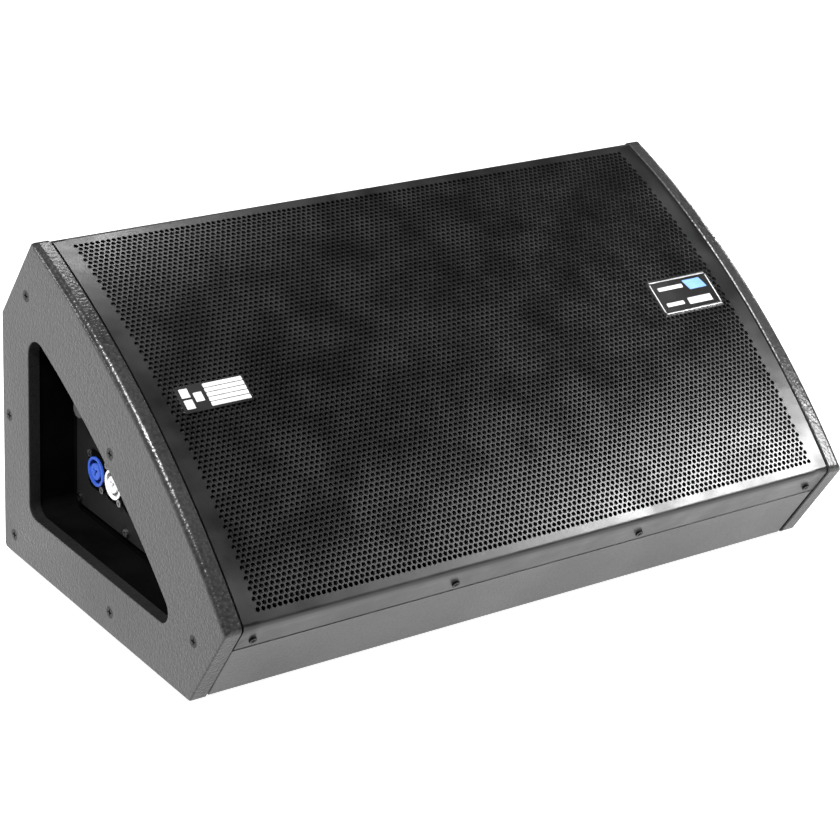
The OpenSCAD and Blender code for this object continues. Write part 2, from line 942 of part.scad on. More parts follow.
module damping_foam() {
    half_w = 165;
    slab = 18;
    low = wall_in + seat_gap;
    color("gray")
        across(-half_w, half_w) {
            translate([low, wall_in + 30])
                square([slab, back_h * 0.6]);
            translate([wall_in + 45, low])
                square([base_d * 0.6, slab]);
        }
}

/* Pockets behind the side openings */
lap = 1;                   // how far a pocket stands back from the opening's edge
module pocket(depth) {
    back_x = -outer_x + depth;
    difference() {
        union() {
            across(-inner_x - rebate_t, -inner_x - pocket_play)
                opening(rebate_w);
            across(-inner_x - rebate_t, back_x + pocket_t)
                opening(lap + pocket_t);
        }
        across(-inner_x - rebate_t - 1, back_x)
            opening(lap);
        for (p = pocket_screw_at)
            facing_left(-inner_x, p)
                translate([0, 0, -1])
                    screw_hole(small_r, 0, rebate_t + 2);
        for (p = plate_screw_at)
            facing_left(-outer_x, p)
                screw_hole(plate_screw_r, plate_screw_l, 0);
    }
}

window_in = 18;
panel_in = 8;
panel_screw_in = 13;
function inside_arc(turn, d) = bow_c + (open_arc - d) * [sin(tilt + turn), cos(tilt + turn)];
panel_screw_at = [
    [open_back + panel_screw_in, open_floor + panel_screw_in],
    [open_back + panel_screw_in, open_floor + 100],
    [base_d * 0.45, open_floor + panel_screw_in],
    inside_arc(8.5, panel_screw_in),
    inside_arc(-1, panel_screw_in)];

module connector_pocket() {
    color("black")
        difference() {
            pocket(panel_depth + panel_t);
            across(floor_x - 1, floor_back + 1)
                opening(-window_in);
            for (p = panel_screw_at)
                facing_left(panel_x, p)
                    screw_hole(small_r, panel_screw_l);
            for (p = standoff_at)
                facing_left(floor_x, p)
                    csk_hole(post_pin_r, post_head.x, post_head.y, pocket_t + 1);
        }
}

module handle_pocket() {
    color("black")
        mirror([1, 0, 0])
            pocket(grip_depth);
}

module pocket_screws() {
    color("silver")
        both_sides()
            for (p = pocket_screw_at)
                facing_left(-inner_x - pocket_play, p)
                    mirror([0, 0, 1])
                        pan_screw(small_r, small_head_r, small_head_h,
                            rebate_t - pocket_play + pocket_bite - clear);
}

/* Connector panel: children of at_panel() stand on its front face */
jack_r = jack_d / 2;
jack_names = ["power_in", "power_link", "signal_in", "signal_link"];
jack_flange = [26, 31, 2];
jack_screw_at = [9.5, 12];
barrel_l = 22;
panel_screw_l = 8;
jack_screw_l = 7;
knob_at = jack_at + [-11, 50];
button_at = jack_at + [17, 47];
button_r = 4;
led_at = jack_at + [32, 40];
led_pitch = 6;
led_r = 1.5;
latch = [6, 2.4, 9];
latch_y = 13.9;
latch_top = latch_travel + 3;
bushing_r = 3.5;
shaft_r = 3;

module at_panel(p) {
    facing_left(panel_x, p)
        children();
}

module at_jack(i) {
    at_panel(jack_at + [i * jack_pitch, 0])
        children();
}

module each_jack_screw() {
    for (i = [0 : len(jack_names) - 1])
        for (side = [-1, 1])
            at_jack(i)
                translate([side * jack_screw_at.x, -side * jack_screw_at.y, 0])
                    children();
}

module latch_slot(low, high) {
    at_jack(2)
        translate([-latch.x / 2 - tiny * 2, latch_y - latch.y / 2 - tiny * 2, low])
            cube([latch.x + 4 * tiny, latch.y + 4 * tiny, high - low]);
}

module amp_panel() {
    color("dimgray")
        difference() {
            across(panel_x, floor_x)
                opening(-panel_in);
            for (i = [0 : len(jack_names) - 1])
                at_jack(i)
                    translate([0, 0, -panel_t - 1])
                        cylinder(h = panel_t + 2, r = jack_r);
            each_jack_screw()
                screw_hole(small_r, panel_t + 1);
            for (p = panel_screw_at)
                at_panel(p)
                    screw_hole(small_r, panel_t + 1);
            latch_slot(-panel_t - 1, 1);
            at_panel(knob_at)
                screw_hole(bushing_r, panel_t + 1);
            at_panel(button_at)
                screw_hole(button_r - clear + 2 * tiny, panel_t + 1);
            for (i = [0 : 2])
                at_panel(led_at + [i * led_pitch, -i * led_pitch / 2])
                    screw_hole(led_r - clear + 2 * tiny, panel_t + 1);
        }
}

module panel_screws() {
    color("silver")
        for (p = panel_screw_at)
            at_panel(p)
                pan_screw(small_r, small_head_r, small_head_h, panel_screw_l);
}

module jack_flanges() {
    corner = 17.6;
    color("black")
        difference() {
            for (i = [0 : len(jack_names) - 1])
                at_jack(i)
                    difference() {
                        intersection() {
                            translate([-jack_flange.x / 2, -jack_flange.y / 2, 0])
                                cube(jack_flange);
                            cylinder(h = jack_flange.z, r = corner);
                        }
                        translate([0, 0, -1])
                            cylinder(h = jack_flange.z + 2, r = jack_r);
                    }
            each_jack_screw()
                screw_hole(small_r, 1, jack_flange.z + 1);
            latch_slot(-1, jack_flange.z + 1);
        }
}

module jack_screws() {
    color("silver")
        each_jack_screw()
            translate([0, 0, jack_flange.z])
                pan_screw(small_r, small_head_r - 0.3, 1.2, jack_screw_l);
}

// Round insert with a ring-shaped mouth for a twist-lock mains plug.
module power_insert() {
    lip = 3.2;
    mouth = 14;
    ring = [6.6, 9.8];
    key = [2, 3.4];
    difference() {
        translate([0, 0, -barrel_l])
            cylinder(h = barrel_l + lip, r = jack_r - clear);
        translate([0, 0, lip - mouth])
            difference() {
                cylinder(h = mouth + 1, r = ring[1]);
                translate([0, 0, -1])
                    cylinder(h = mouth + 3, r = ring[0]);
            }
        for (turn = [30, 150, 270])
            rotate(turn)
                translate([0, -key.x / 2, lip - mouth])
                    cube([key.y, key.x, mouth + 1]);
    }
}

module power_in_socket() {
    color("royalblue")
        at_jack(0)
            power_insert();
}

module power_link_socket() {
    color("whitesmoke")
        at_jack(1)
            power_insert();
}

pin_ring = 4.8;
pin_turns = [35, 145, 270];
module signal_in_socket() {
    lip = 1.4;
    hole_r = 1.7;
    color("black")
        at_jack(2)
            difference() {
                translate([0, 0, -barrel_l])
                    cylinder(h = barrel_l + lip, r = jack_r - clear);
                for (turn = pin_turns)
                    rotate(turn)
                        translate([pin_ring, 0, lip - 13])
                            cylinder(h = 14, r = hole_r);
                translate([0, 0, lip - 0.8])
                    difference() {
                        cylinder(h = 2, r = jack_r - 1.4);
                        translate([0, 0, -1])
                            cylinder(h = 4, r = jack_r - 2.6);
                    }
            }
}

male_mouth = 15;
module signal_link_socket() {
    lip = 1.4;
    color("black")
        at_jack(3)
            difference() {
                translate([0, 0, -barrel_l])
                    cylinder(h = barrel_l + lip, r = jack_r - clear);
                translate([0, 0, lip - male_mouth])
                    cylinder(h = male_mouth + 1, r = jack_r - 2.6);
            }
}

module jack_contacts() {
    tag = [1, 3, 4];
    pin_r = 1.2;
    color("gold") {
        for (i = [0 : len(jack_names) - 1])
            for (turn = pin_turns)
                at_jack(i)
                    rotate(turn)
                        translate([pin_ring - tag.x / 2, -tag.y / 2, -barrel_l - tag.z])
                            cube(tag);
        for (turn = pin_turns)
            at_jack(3)
                rotate(turn)
                    translate([pin_ring, 0, 1.4 - male_mouth])
                        cylinder(h = male_mouth - 3, r = pin_r);
    }
}

module release_tab() {
    color("silver")
        at_jack(2)
            translate([-latch.x / 2, latch_y - latch.y / 2, latch_top - latch.z])
                cube(latch);
}

control_h = 8;
module level_control() {
    body = 16;
    thread = 4;
    nut_h = 1.8;
    color("gray")
        at_panel(knob_at)
            difference() {
                union() {
                    translate([-body / 2, -body / 2, -panel_t - control_h])
                        cube([body, body, control_h]);
                    translate([0, 0, -panel_t])
                        cylinder(h = thread, r = bushing_r);
                    cylinder(h = nut_h, r = bushing_r + 2, $fn = 6);
                }
                translate([0, 0, -panel_t - control_h + 1])
                    cylinder(h = control_h + thread + 2, r = shaft_r + tiny);
            }
}

knob_low = 2.4;
knob_h = 10.5;
module level_knob() {
    mark = [0.9, 0.7];
    color("black")
        at_panel(knob_at)
            difference() {
                union() {
                    translate([0, 0, knob_low])
                        cylinder(h = knob_h - 2, r = knob_d / 2);
                    translate([0, 0, knob_low + knob_h - 2])
                        cylinder(h = 2, r1 = knob_d / 2, r2 = knob_d / 2 - 1);
                    translate([0, 0, -panel_t - control_h + 2])
                        cylinder(h = control_h + knob_h, r = shaft_r);
                }
                translate([-mark.x / 2, 2, knob_low + knob_h - mark.y])
                    cube([mark.x, knob_d, 2]);
            }
}

plunger_r = 2;
button_low = -0.8;
button_h = 4.2;
plunger_l = 6;
module preset_switch() {
    body = [11, 11, 9];
    color("gray")
        at_panel(button_at)
            difference() {
                translate([-body.x / 2, -body.y / 2, -panel_t - body.z])
                    cube(body);
                translate([0, 0, button_low - plunger_l - button_travel - seat_gap])
                    cylinder(h = body.z + 4, r = plunger_r + tiny);
            }
}

module preset_button() {
    color("gray")
        at_panel(button_at) {
            translate([0, 0, button_low])
                cylinder(h = button_h, r = button_r);
            translate([0, 0, button_low - plunger_l])
                cylinder(h = plunger_l, r = plunger_r);
        }
}

module status_lights() {
    led_l = 7;
    color("lime")
        for (i = [0 : 2])
            at_panel(led_at + [i * led_pitch, -i * led_pitch / 2]) {
                translate([0, 0, -led_l])
                    cylinder(h = led_l, r = led_r);
                intersection() {
                    sphere(led_r);
                    cylinder(h = led_r, r = led_r);
                }
            }
}

/* Amplifier behind the panel */
post_r = 3;
post_pin_r = 1.3;
post_bite = 6;
post_head = [2.6, 1.4];
board_edge = 10;
post_in = 14;
standoff_at = [
    [open_back + post_in, open_floor + 35],
    [open_back + 45, open_floor + post_in],
    [base_d * 0.65, open_floor + post_in],
    inside_arc(3.5, post_in),
    inside_arc(-7, post_in)];

module standing_on(x, p) {
    translate([x, mid_d - p.x, rise + p.y])
        rotate([0, 90, 0])
            children();
}

module amp_board() {
    color("darkgreen")
        difference() {
            across(board_x, board_in)
                opening(-board_edge);
            for (p = standoff_at)
                standing_on(board_in, p)
                    screw_hole(post_pin_r, board_t + 1);
        }
}

module board_standoffs() {
    color("silver")
        for (p = standoff_at)
            standing_on(floor_back, p)
                difference() {
                    cylinder(h = board_gap, r = post_r);
                    translate([0, 0, board_gap])
                        screw_hole(post_pin_r, post_bite);
                    translate([0, 0, -1])
                        cylinder(h = post_bite + 1 + clear, r = post_pin_r + clear);
                }
}

module standoff_screws() {
    color("silver")
        for (p = standoff_at) {
            standing_on(board_in, p)
                pan_screw(post_pin_r, post_head.x, post_head.y, board_t + post_bite);
            facing_left(floor_x, p)
                csk_screw(post_pin_r, post_head.x, post_head.y, pocket_t + post_bite);
        }
}

module heatsink() {
    base = [62, 5];
    fin = [2, 24];
    fins = 9;
    sink_l = 34;
    low = [open_back + 22, open_floor + 26];
    color("lightgray")
        across(board_in, board_in + sink_l)
            translate(low) {
                square(base);
                for (i = [0 : fins - 1])
                    translate([i * (base.x - fin.x) / (fins - 1), base.y - 1])
                        square([fin.x, fin.y + 1]);
            }
}

module capacitors() {
    can = [9, 30];
    at = [open_back + 100, open_floor + 28];
    color("black")
        for (i = [0 : 3])
            standing_on(board_in, at + [(i % 2) * 21, floor(i / 2) * 20 - 2])
                cylinder(h = can.y, r = can.x);
}

module inductors() {
    core = [5, 12, 10];
    at = [[open_back + 36, open_floor + 78], [open_back + 64, open_floor + 74]];
    color("darkred")
        for (p = at)
            standing_on(board_in, p)
                difference() {
                    cylinder(h = core.z, r = core.y);
                    translate([0, 0, -1])
                        cylinder(h = core.z + 2, r = core.x);
                }
}

module amp_cover() {
    cover_edge = 2;
    color("silver")
        difference() {
            across(floor_back, cover_x)
                opening(-cover_edge);
            across(floor_back - 1, cover_x - cover_t)
                opening(-cover_edge - cover_t);
            standing_on(cover_x, [mid_d - tab_at.y, tab_at.z - rise])
                screw_hole(wire_r + 2, cover_t + 1);
        }
}

left_side_plate();
right_side_plate();
back_panel();
top_panel();
bottom_panel();
front_lower_panel();
baffle();
side_battens();
side_plate_screws();
rubber_feet();
foot_screws();
grille();
grille_foam();
grille_screws();
left_badge();
right_badge();
port_tubes();
woofer_basket();
woofer_top_plate();
woofer_magnet();
woofer_back_plate();
woofer_cone();
voice_coil();
woofer_surround();
woofer_spider();
woofer_gasket();
woofer_screws();
horn_flare();
compression_driver();
woofer_terminals();
speaker_cable();
damping_foam();
connector_pocket();
handle_pocket();
pocket_screws();
amp_panel();
panel_screws();
jack_flanges();
jack_screws();
power_in_socket();
power_link_socket();
signal_in_socket();
signal_link_socket();
jack_contacts();
release_tab();
level_knob();
level_control();
preset_button();
preset_switch();
status_lights();
amp_board();
board_standoffs();
standoff_screws();
heatsink();
capacitors();
inductors();
amp_cover();
cable_grommet();
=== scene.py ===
# %% [markdown]
# # A floor monitor, from bare frame to finished cabinet
# A stage monitor lies on the floor and fires up at the player. The frame already holds every part at its
# real place, so this lesson only adds what the eye needs: the punched grille, the rounded plates,
# the badges, the soft fillings and a worn-in finish for each material.

# %% Load the frame
import json
import math
import random

import bmesh
import bpy
from mathutils import Matrix, Vector


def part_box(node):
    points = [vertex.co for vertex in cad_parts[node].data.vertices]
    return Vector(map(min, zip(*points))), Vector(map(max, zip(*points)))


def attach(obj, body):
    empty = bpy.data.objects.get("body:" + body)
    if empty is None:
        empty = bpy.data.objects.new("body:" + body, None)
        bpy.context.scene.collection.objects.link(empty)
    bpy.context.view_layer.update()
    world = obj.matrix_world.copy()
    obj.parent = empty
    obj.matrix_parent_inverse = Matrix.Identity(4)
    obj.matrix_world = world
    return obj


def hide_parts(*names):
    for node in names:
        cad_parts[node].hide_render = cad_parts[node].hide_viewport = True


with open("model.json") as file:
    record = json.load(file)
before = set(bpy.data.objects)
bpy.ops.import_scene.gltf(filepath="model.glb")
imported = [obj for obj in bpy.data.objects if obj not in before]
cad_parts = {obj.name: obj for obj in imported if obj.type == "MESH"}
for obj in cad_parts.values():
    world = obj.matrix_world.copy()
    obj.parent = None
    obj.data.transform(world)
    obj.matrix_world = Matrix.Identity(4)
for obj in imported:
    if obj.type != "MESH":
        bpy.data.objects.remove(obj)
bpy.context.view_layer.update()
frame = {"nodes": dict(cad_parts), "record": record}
scene = bpy.context.scene
nodes = frame["nodes"]
mm = 0.001

# %% [markdown]
# ## Camera
# A long lens from the left end and above keeps the long edges almost parallel.
# Three angles give the direction, and the three axes of the camera follow from them.

# %% Camera
AIM_TURN, AIM_DROP, AIM_LEAN = math.radians(-36.42), math.radians(23.26), math.radians(3.22)
CAMERA_AT = Vector((-1.1219, -1.50395, 0.9233))
LENS_MM, SENSOR_MM = 109.92, 36.0


def camera_axes(turn, drop, lean):
    behind = Vector((math.sin(turn) * math.cos(drop), -math.cos(turn) * math.cos(drop), math.sin(drop)))
    level = Vector((math.cos(turn), math.sin(turn), 0))
    raised = behind.cross(level)
    right = level * math.cos(lean) + raised * math.sin(lean)
    top = raised * math.cos(lean) - level * math.sin(lean)
    return Matrix((right, top, behind)).transposed()


camera_data = bpy.data.cameras.new("camera")
camera_data.lens, camera_data.sensor_width = LENS_MM, SENSOR_MM
camera = bpy.data.objects.new("camera", camera_data)
camera.matrix_world = Matrix.Translation(CAMERA_AT) @ camera_axes(AIM_TURN, AIM_DROP, AIM_LEAN).to_4x4()
scene.collection.objects.link(camera)
scene.camera = camera
print("camera distance:", round(CAMERA_AT.length, 3), "m")

# %% [markdown]
# ## Light
# Black things are shown by what they mirror. One panel hangs high at the left for the plate's rounded edge,
# one low at the left rear for its face, and one at the right front for the low end of the grille. Two small
# ones at the back and the right light the top corner and the right edge, and a glowing floor does the rest.

# %% Lights and sky
scene.view_settings.view_transform = "Standard"


def softbox(name, at, aim, width, height, watts):
    lamp = bpy.data.lights.new(name, "AREA")
    lamp.shape, lamp.size, lamp.size_y, lamp.energy = "RECTANGLE", width, height, watts
    holder = bpy.data.objects.new(name, lamp)
    holder.location = at
    holder.rotation_euler = (Vector(at) - Vector(aim)).to_track_quat("Z", "Y").to_euler()
    scene.collection.objects.link(holder)
    return holder


middle = Vector((0, 0, 0.14))
softbox("left_panel", (-1.35, -0.25, 2.1), middle, 0.35, 0.35, 100)
softbox("left_rear_panel", (-1.5, 1.25, 0.55), (-0.29, 0, 0.27), 0.7, 0.3, 11)
softbox("front_panel", (0.80, -0.62, 0.66), (0.28, -0.13, 0.08), 0.3, 0.25, 17)
softbox("rear_panel", (0.1, 0.5, 1.05), (-0.25, 0.12, 0.25), 0.3, 0.15, 3.5)
softbox("right_panel", (2.2, 0.7, 1.0), middle, 0.35, 0.35, 16)

sky = bpy.data.worlds.new("sky")
sky.use_nodes = True
sky.node_tree.nodes["Background"].inputs["Color"].default_value = (0.93, 0.96, 1.0, 1)
sky.node_tree.nodes["Background"].inputs["Strength"].default_value = 0.04
scene.world = sky

# %% [markdown]
# ## Shared effects
# Four effects serve many materials, so each is a node group: pebbled paint, moulded grain, brushed metal
# and cloth. They put out a tone, a gloss and a height, all of which change over the surface.

# %% Group helpers
def new_group(name, inputs, outputs):
    group = bpy.data.node_groups.new(name, "ShaderNodeTree")
    for label, value in inputs.items():
        socket = group.interface.new_socket(label, in_out="INPUT", socket_type="NodeSocketFloat")
        socket.default_value = value
    for label in outputs:
        group.interface.new_socket(label, in_out="OUTPUT", socket_type="NodeSocketFloat")
    entry, leave = group.nodes.new("NodeGroupInput"), group.nodes.new("NodeGroupOutput")
    return group, entry, leave


def add(tree, kind, values=None, links=None, **settings):
    node = tree.nodes.new(kind)
    for key, value in settings.items():
        setattr(node, key, value)
    for key, value in (values or {}).items():
        node.inputs[key].default_value = value
    for key, source in (links or {}).items():
        tree.links.new(source, node.inputs[key])
    return node


def place_of(tree):
    return add(tree, "ShaderNodeTexCoord").outputs["Object"]


def math_node(tree, operation, first, second):
    node = add(tree, "ShaderNodeMath", operation=operation)
    for socket, value in zip(node.inputs, (first, second)):
        if isinstance(value, (int, float)):
            socket.default_value = value
        else:
            tree.links.new(value, socket)
    return node.outputs[0]


def remap(tree, value, low, high, to_low=0.0, to_high=1.0):
    span = {"From Min": low, "From Max": high, "To Min": to_low, "To Max": to_high}
    node = add(tree, "ShaderNodeMapRange", span, {"Value": value})
    return node.outputs[0]


# %% Pebbled paint: soft drops of two sizes with a slow drift of tone
def pebble_group():
    group, entry, leave = new_group("pebbled_coat", {"Drop Size": 0.0016}, ("Tone", "Gloss", "Height"))
    scale = math_node(group, "DIVIDE", 1.0, entry.outputs["Drop Size"])
    place = place_of(group)
    drops = add(group, "ShaderNodeTexVoronoi", links={"Vector": place, "Scale": scale}, feature="SMOOTH_F1")
    ripple = add(group, "ShaderNodeTexNoise", {"Detail": 3.0, "Roughness": 0.6},
                 {"Vector": place, "Scale": math_node(group, "MULTIPLY", scale, 0.6)})
    drift = add(group, "ShaderNodeTexNoise", {"Scale": 9.0, "Detail": 4.0}, {"Vector": place})
    rounded = remap(group, drops.outputs["Distance"], 0.1, 0.75, 1.0, 0.0)
    height = math_node(group, "ADD", math_node(group, "MULTIPLY", rounded, 0.55),
                       math_node(group, "MULTIPLY", ripple.outputs["Fac"], 0.75))
    tone = math_node(group, "ADD", math_node(group, "MULTIPLY", height, 0.55),
                     math_node(group, "MULTIPLY", drift.outputs["Fac"], 0.45))
    group.links.new(remap(group, tone, 0.3, 0.8), leave.inputs["Tone"])
    group.links.new(remap(group, drift.outputs["Fac"], 0.35, 0.65), leave.inputs["Gloss"])
    group.links.new(height, leave.inputs["Height"])
    return group


# %% Moulded grain: fine even noise with a few faint scuffs
def grain_group():
    group, entry, leave = new_group("moulded_grain", {"Grain Size": 0.0006}, ("Tone", "Gloss", "Height"))
    scale = math_node(group, "DIVIDE", 1.0, entry.outputs["Grain Size"])
    place = place_of(group)
    grain = add(group, "ShaderNodeTexNoise", {"Detail": 2.0}, {"Vector": place, "Scale": scale})
    cloud = add(group, "ShaderNodeTexNoise", {"Scale": 28.0, "Detail": 5.0}, {"Vector": place})
    stretch = add(group, "ShaderNodeMapping", {"Scale": (260.0, 34.0, 34.0)}, {"Vector": place})
    scuff = add(group, "ShaderNodeTexNoise", {"Scale": 1.0, "Detail": 6.0, "Distortion": 1.2},
                {"Vector": stretch.outputs[0]})
    scuffs = remap(group, scuff.outputs["Fac"], 0.62, 0.7)
    tone = math_node(group, "ADD", math_node(group, "MULTIPLY", grain.outputs["Fac"], 0.4),
                     math_node(group, "MULTIPLY", cloud.outputs["Fac"], 0.6))
    shown = math_node(group, "ADD", remap(group, tone, 0.35, 0.65), math_node(group, "MULTIPLY", scuffs, 0.2))
    group.links.new(shown, leave.inputs["Tone"])
    group.links.new(remap(group, cloud.outputs["Fac"], 0.35, 0.65), leave.inputs["Gloss"])
    group.links.new(grain.outputs["Fac"], leave.inputs["Height"])
    return group


# %% Brushed metal: noise drawn out along X
def brushed_group():
    group, entry, leave = new_group("brushed_metal", {"Line Size": 0.0004}, ("Tone", "Gloss", "Height"))
    scale = math_node(group, "DIVIDE", 1.0, entry.outputs["Line Size"])
    place = place_of(group)
    stretch = add(group, "ShaderNodeMapping", {"Scale": (0.03, 1.0, 1.0)}, {"Vector": place})
    lines = add(group, "ShaderNodeTexNoise", {"Detail": 4.0}, {"Vector": stretch.outputs[0], "Scale": scale})
    stain = add(group, "ShaderNodeTexNoise", {"Scale": 60.0, "Detail": 4.0}, {"Vector": place})
    tone = math_node(group, "ADD", math_node(group, "MULTIPLY", lines.outputs["Fac"], 0.6),
                     math_node(group, "MULTIPLY", stain.outputs["Fac"], 0.4))
    group.links.new(remap(group, tone, 0.35, 0.65), leave.inputs["Tone"])
    group.links.new(remap(group, stain.outputs["Fac"], 0.35, 0.65), leave.inputs["Gloss"])
    group.links.new(lines.outputs["Fac"], leave.inputs["Height"])
    return group


# %% Cloth and foam: crossed threads, broken up by fluff
def cloth_group():
    group, entry, leave = new_group("cloth_and_foam", {"Thread Size": 0.0012, "Weave": 0.5},
                                    ("Tone", "Gloss", "Height"))
    scale = math_node(group, "DIVIDE", 1.0, entry.outputs["Thread Size"])
    place = place_of(group)
    across, along = (add(group, "ShaderNodeTexWave", {"Distortion": 0.6, "Detail": 1.0},
                         {"Vector": place, "Scale": scale}, bands_direction=way) for way in "XY")
    pores = add(group, "ShaderNodeTexVoronoi", links={"Vector": place, "Scale": scale})
    threads = math_node(group, "MAXIMUM", across.outputs["Fac"], along.outputs["Fac"])
    fluff = remap(group, pores.outputs["Distance"], 0.0, 0.7)
    mixed = add(group, "ShaderNodeMix", links={"Factor": entry.outputs["Weave"], "A": fluff, "B": threads})
    cloud = add(group, "ShaderNodeTexNoise", {"Scale": 35.0, "Detail": 4.0}, {"Vector": place})
    tone = math_node(group, "ADD", math_node(group, "MULTIPLY", mixed.outputs["Result"], 0.6),
                     math_node(group, "MULTIPLY", cloud.outputs["Fac"], 0.4))
    group.links.new(remap(group, tone, 0.2, 0.8), leave.inputs["Tone"])
    group.links.new(cloud.outputs["Fac"], leave.inputs["Gloss"])
    group.links.new(mixed.outputs["Result"], leave.inputs["Height"])
    return group


PEBBLE, GRAIN, BRUSHED, CLOTH = pebble_group(), grain_group(), brushed_group(), cloth_group()
print("groups:", [g.name for g in (PEBBLE, GRAIN, BRUSHED, CLOTH)])

# %% [markdown]
# ## Materials
# Each material places one effect group with its own size and strength. The group's tone blends two
# colours, its gloss moves the roughness between two values, and its height drives a bump.

# %% Material maker
def live(sockets, label):
    """The socket of that name that the node's present type uses."""
    return next(s for s in sockets if s.name == label and s.enabled)


def finish(name, effect, dark, light, rough, bump_mm, knobs=None, metal=0.0, shader_values=None):
    plain = bpy.data.materials.get(name)
    if plain:
        plain.name = name + "_plain"
    material = bpy.data.materials.new(name)
    material.use_nodes = True
    tree = material.node_tree
    shader = tree.nodes["Principled BSDF"]
    group = add(tree, "ShaderNodeGroup", node_tree=effect)
    for label, value in (knobs or {}).items():
        group.inputs[label].default_value = value
    colour = add(tree, "ShaderNodeMix", data_type="RGBA")
    tree.links.new(group.outputs["Tone"], live(colour.inputs, "Factor"))
    live(colour.inputs, "A").default_value, live(colour.inputs, "B").default_value = (*dark, 1), (*light, 1)
    bump = add(tree, "ShaderNodeBump", {"Strength": 1.0, "Distance": bump_mm * mm},
               {"Height": group.outputs["Height"]})
    tree.links.new(live(colour.outputs, "Result"), shader.inputs["Base Color"])
    tree.links.new(remap(tree, group.outputs["Gloss"], 0, 1, *rough), shader.inputs["Roughness"])
    tree.links.new(bump.outputs["Normal"], shader.inputs["Normal"])
    shader.inputs["Metallic"].default_value = metal
    for label, value in (shader_values or {}).items():
        shader.inputs[label].default_value = value
    return material


def grey(value, tint=0.0):
    return (value, value, value * (1 + tint))


# %% Paints
plate_paint = finish("plate_paint", PEBBLE, grey(0.01), grey(0.034), (0.22, 0.38), 0.3,
                     {"Drop Size": 2.1 * mm}, shader_values={"Specular IOR Level": 0.3})
# A darker, duller copy of the plate paint for the deep walls of the openings: painted shade in the recess.
rim_shade_paint = finish("rim_shade_paint", PEBBLE, grey(0.003), grey(0.012), (0.6, 0.75), 0.15,
                   {"Drop Size": 1.5 * mm}, shader_values={"Specular IOR Level": 0.1})
finish("cabinet_paint", PEBBLE, grey(0.02), grey(0.05), (0.36, 0.5), 0.18, {"Drop Size": 1.5 * mm},
       shader_values={"Specular IOR Level": 0.65})
finish("baffle_paint", GRAIN, grey(0.008), grey(0.02), (0.7, 0.85), 0.05, {"Grain Size": 1.1 * mm})
grille_paint = finish("grille_paint", GRAIN, grey(0.003), grey(0.01), (0.3, 0.42), 0.03,
                      {"Grain Size": 0.5 * mm})
# Darker and duller than the real amp panel, so the connector pocket stays black: painted shade in the recess.
finish("panel_paint", GRAIN, grey(0.004), grey(0.01), (0.6, 0.75), 0.04, {"Grain Size": 0.4 * mm},
       shader_values={"Specular IOR Level": 0.1})
finish("cast_frame", GRAIN, grey(0.03), grey(0.06), (0.45, 0.6), 0.08, {"Grain Size": 0.9 * mm})

# %% Plastics and rubber
# Almost no tone and no specular, darker than real plastic, so the pockets stay black: painted shade in the
# recess.
finish("black_plastic", GRAIN, grey(0.001), grey(0.003), (0.7, 0.85), 0.05, {"Grain Size": 0.7 * mm},
       shader_values={"Specular IOR Level": 0.0})
knob_plastic = finish("knob_plastic", GRAIN, grey(0.016), grey(0.03), (0.5, 0.62), 0.03,
                      {"Grain Size": 0.4 * mm})
finish("grey_plastic", GRAIN, grey(0.16), grey(0.26), (0.4, 0.5), 0.02, {"Grain Size": 0.4 * mm})
finish("blue_plastic", GRAIN, (0.015, 0.05, 0.3), (0.035, 0.1, 0.48), (0.3, 0.42), 0.02,
       {"Grain Size": 0.4 * mm})
white_plastic = finish("white_plastic", GRAIN, grey(0.62), grey(0.82), (0.3, 0.42), 0.02,
                       {"Grain Size": 0.4 * mm})
finish("green_lens", GRAIN, (0.02, 0.32, 0.05), (0.06, 0.55, 0.12), (0.12, 0.2), 0.01,
       {"Grain Size": 0.8 * mm}, shader_values={"Coat Weight": 0.5})
finish("foot_rubber", GRAIN, grey(0.012), grey(0.028), (0.7, 0.85), 0.06, {"Grain Size": 0.8 * mm})
finish("cable_jacket", GRAIN, grey(0.012), grey(0.025), (0.5, 0.65), 0.03, {"Grain Size": 0.6 * mm})
finish("capacitor_sleeve", GRAIN, (0.01, 0.012, 0.03), (0.02, 0.025, 0.06), (0.25, 0.35), 0.01)
finish("circuit_board", GRAIN, (0.01, 0.11, 0.045), (0.02, 0.2, 0.08), (0.3, 0.4), 0.04,
       {"Grain Size": 2.2 * mm})

# %% Metals
finish("black_screw", BRUSHED, grey(0.002), grey(0.008), (0.25, 0.35), 0.01,
       shader_values={"Specular IOR Level": 0.12})
finish("zinc_screw", BRUSHED, grey(0.16), grey(0.34), (0.25, 0.4), 0.01, metal=1.0)
finish("plated_steel", BRUSHED, (0.5, 0.5, 0.48), (0.68, 0.68, 0.66), (0.3, 0.42), 0.01, metal=1.0)
finish("cover_steel", BRUSHED, grey(0.45, 0.02), grey(0.66, 0.03), (0.35, 0.5), 0.02, {"Line Size": 2 * mm},
       metal=1.0)
finish("sink_aluminium", BRUSHED, grey(0.55, 0.02), grey(0.75, 0.02), (0.32, 0.45), 0.01, metal=1.0)
finish("ferrite", GRAIN, grey(0.035), grey(0.07), (0.6, 0.75), 0.05, {"Grain Size": 0.8 * mm})
finish("copper_coil", BRUSHED, (0.42, 0.17, 0.07), (0.62, 0.28, 0.12), (0.25, 0.35), 0.03, metal=0.9)
finish("gold_contact", BRUSHED, (0.62, 0.45, 0.16), (0.8, 0.62, 0.28), (0.22, 0.3), 0.005, metal=1.0)
finish("brass_post", BRUSHED, (0.5, 0.36, 0.14), (0.68, 0.52, 0.24), (0.28, 0.38), 0.01, metal=1.0)
badge_metal = finish("badge_metal", BRUSHED, grey(0.62, 0.01), grey(0.9, 0.01), (0.25, 0.4), 0.01,
                     metal=0.35)
badge_field = finish("badge_field", GRAIN, grey(0.01), grey(0.02), (0.2, 0.3), 0.01,
                     {"Grain Size": 0.5 * mm})
badge_blue = finish("badge_blue", BRUSHED, (0.14, 0.3, 0.7), (0.26, 0.46, 0.86), (0.3, 0.4), 0.01,
                    metal=0.2)

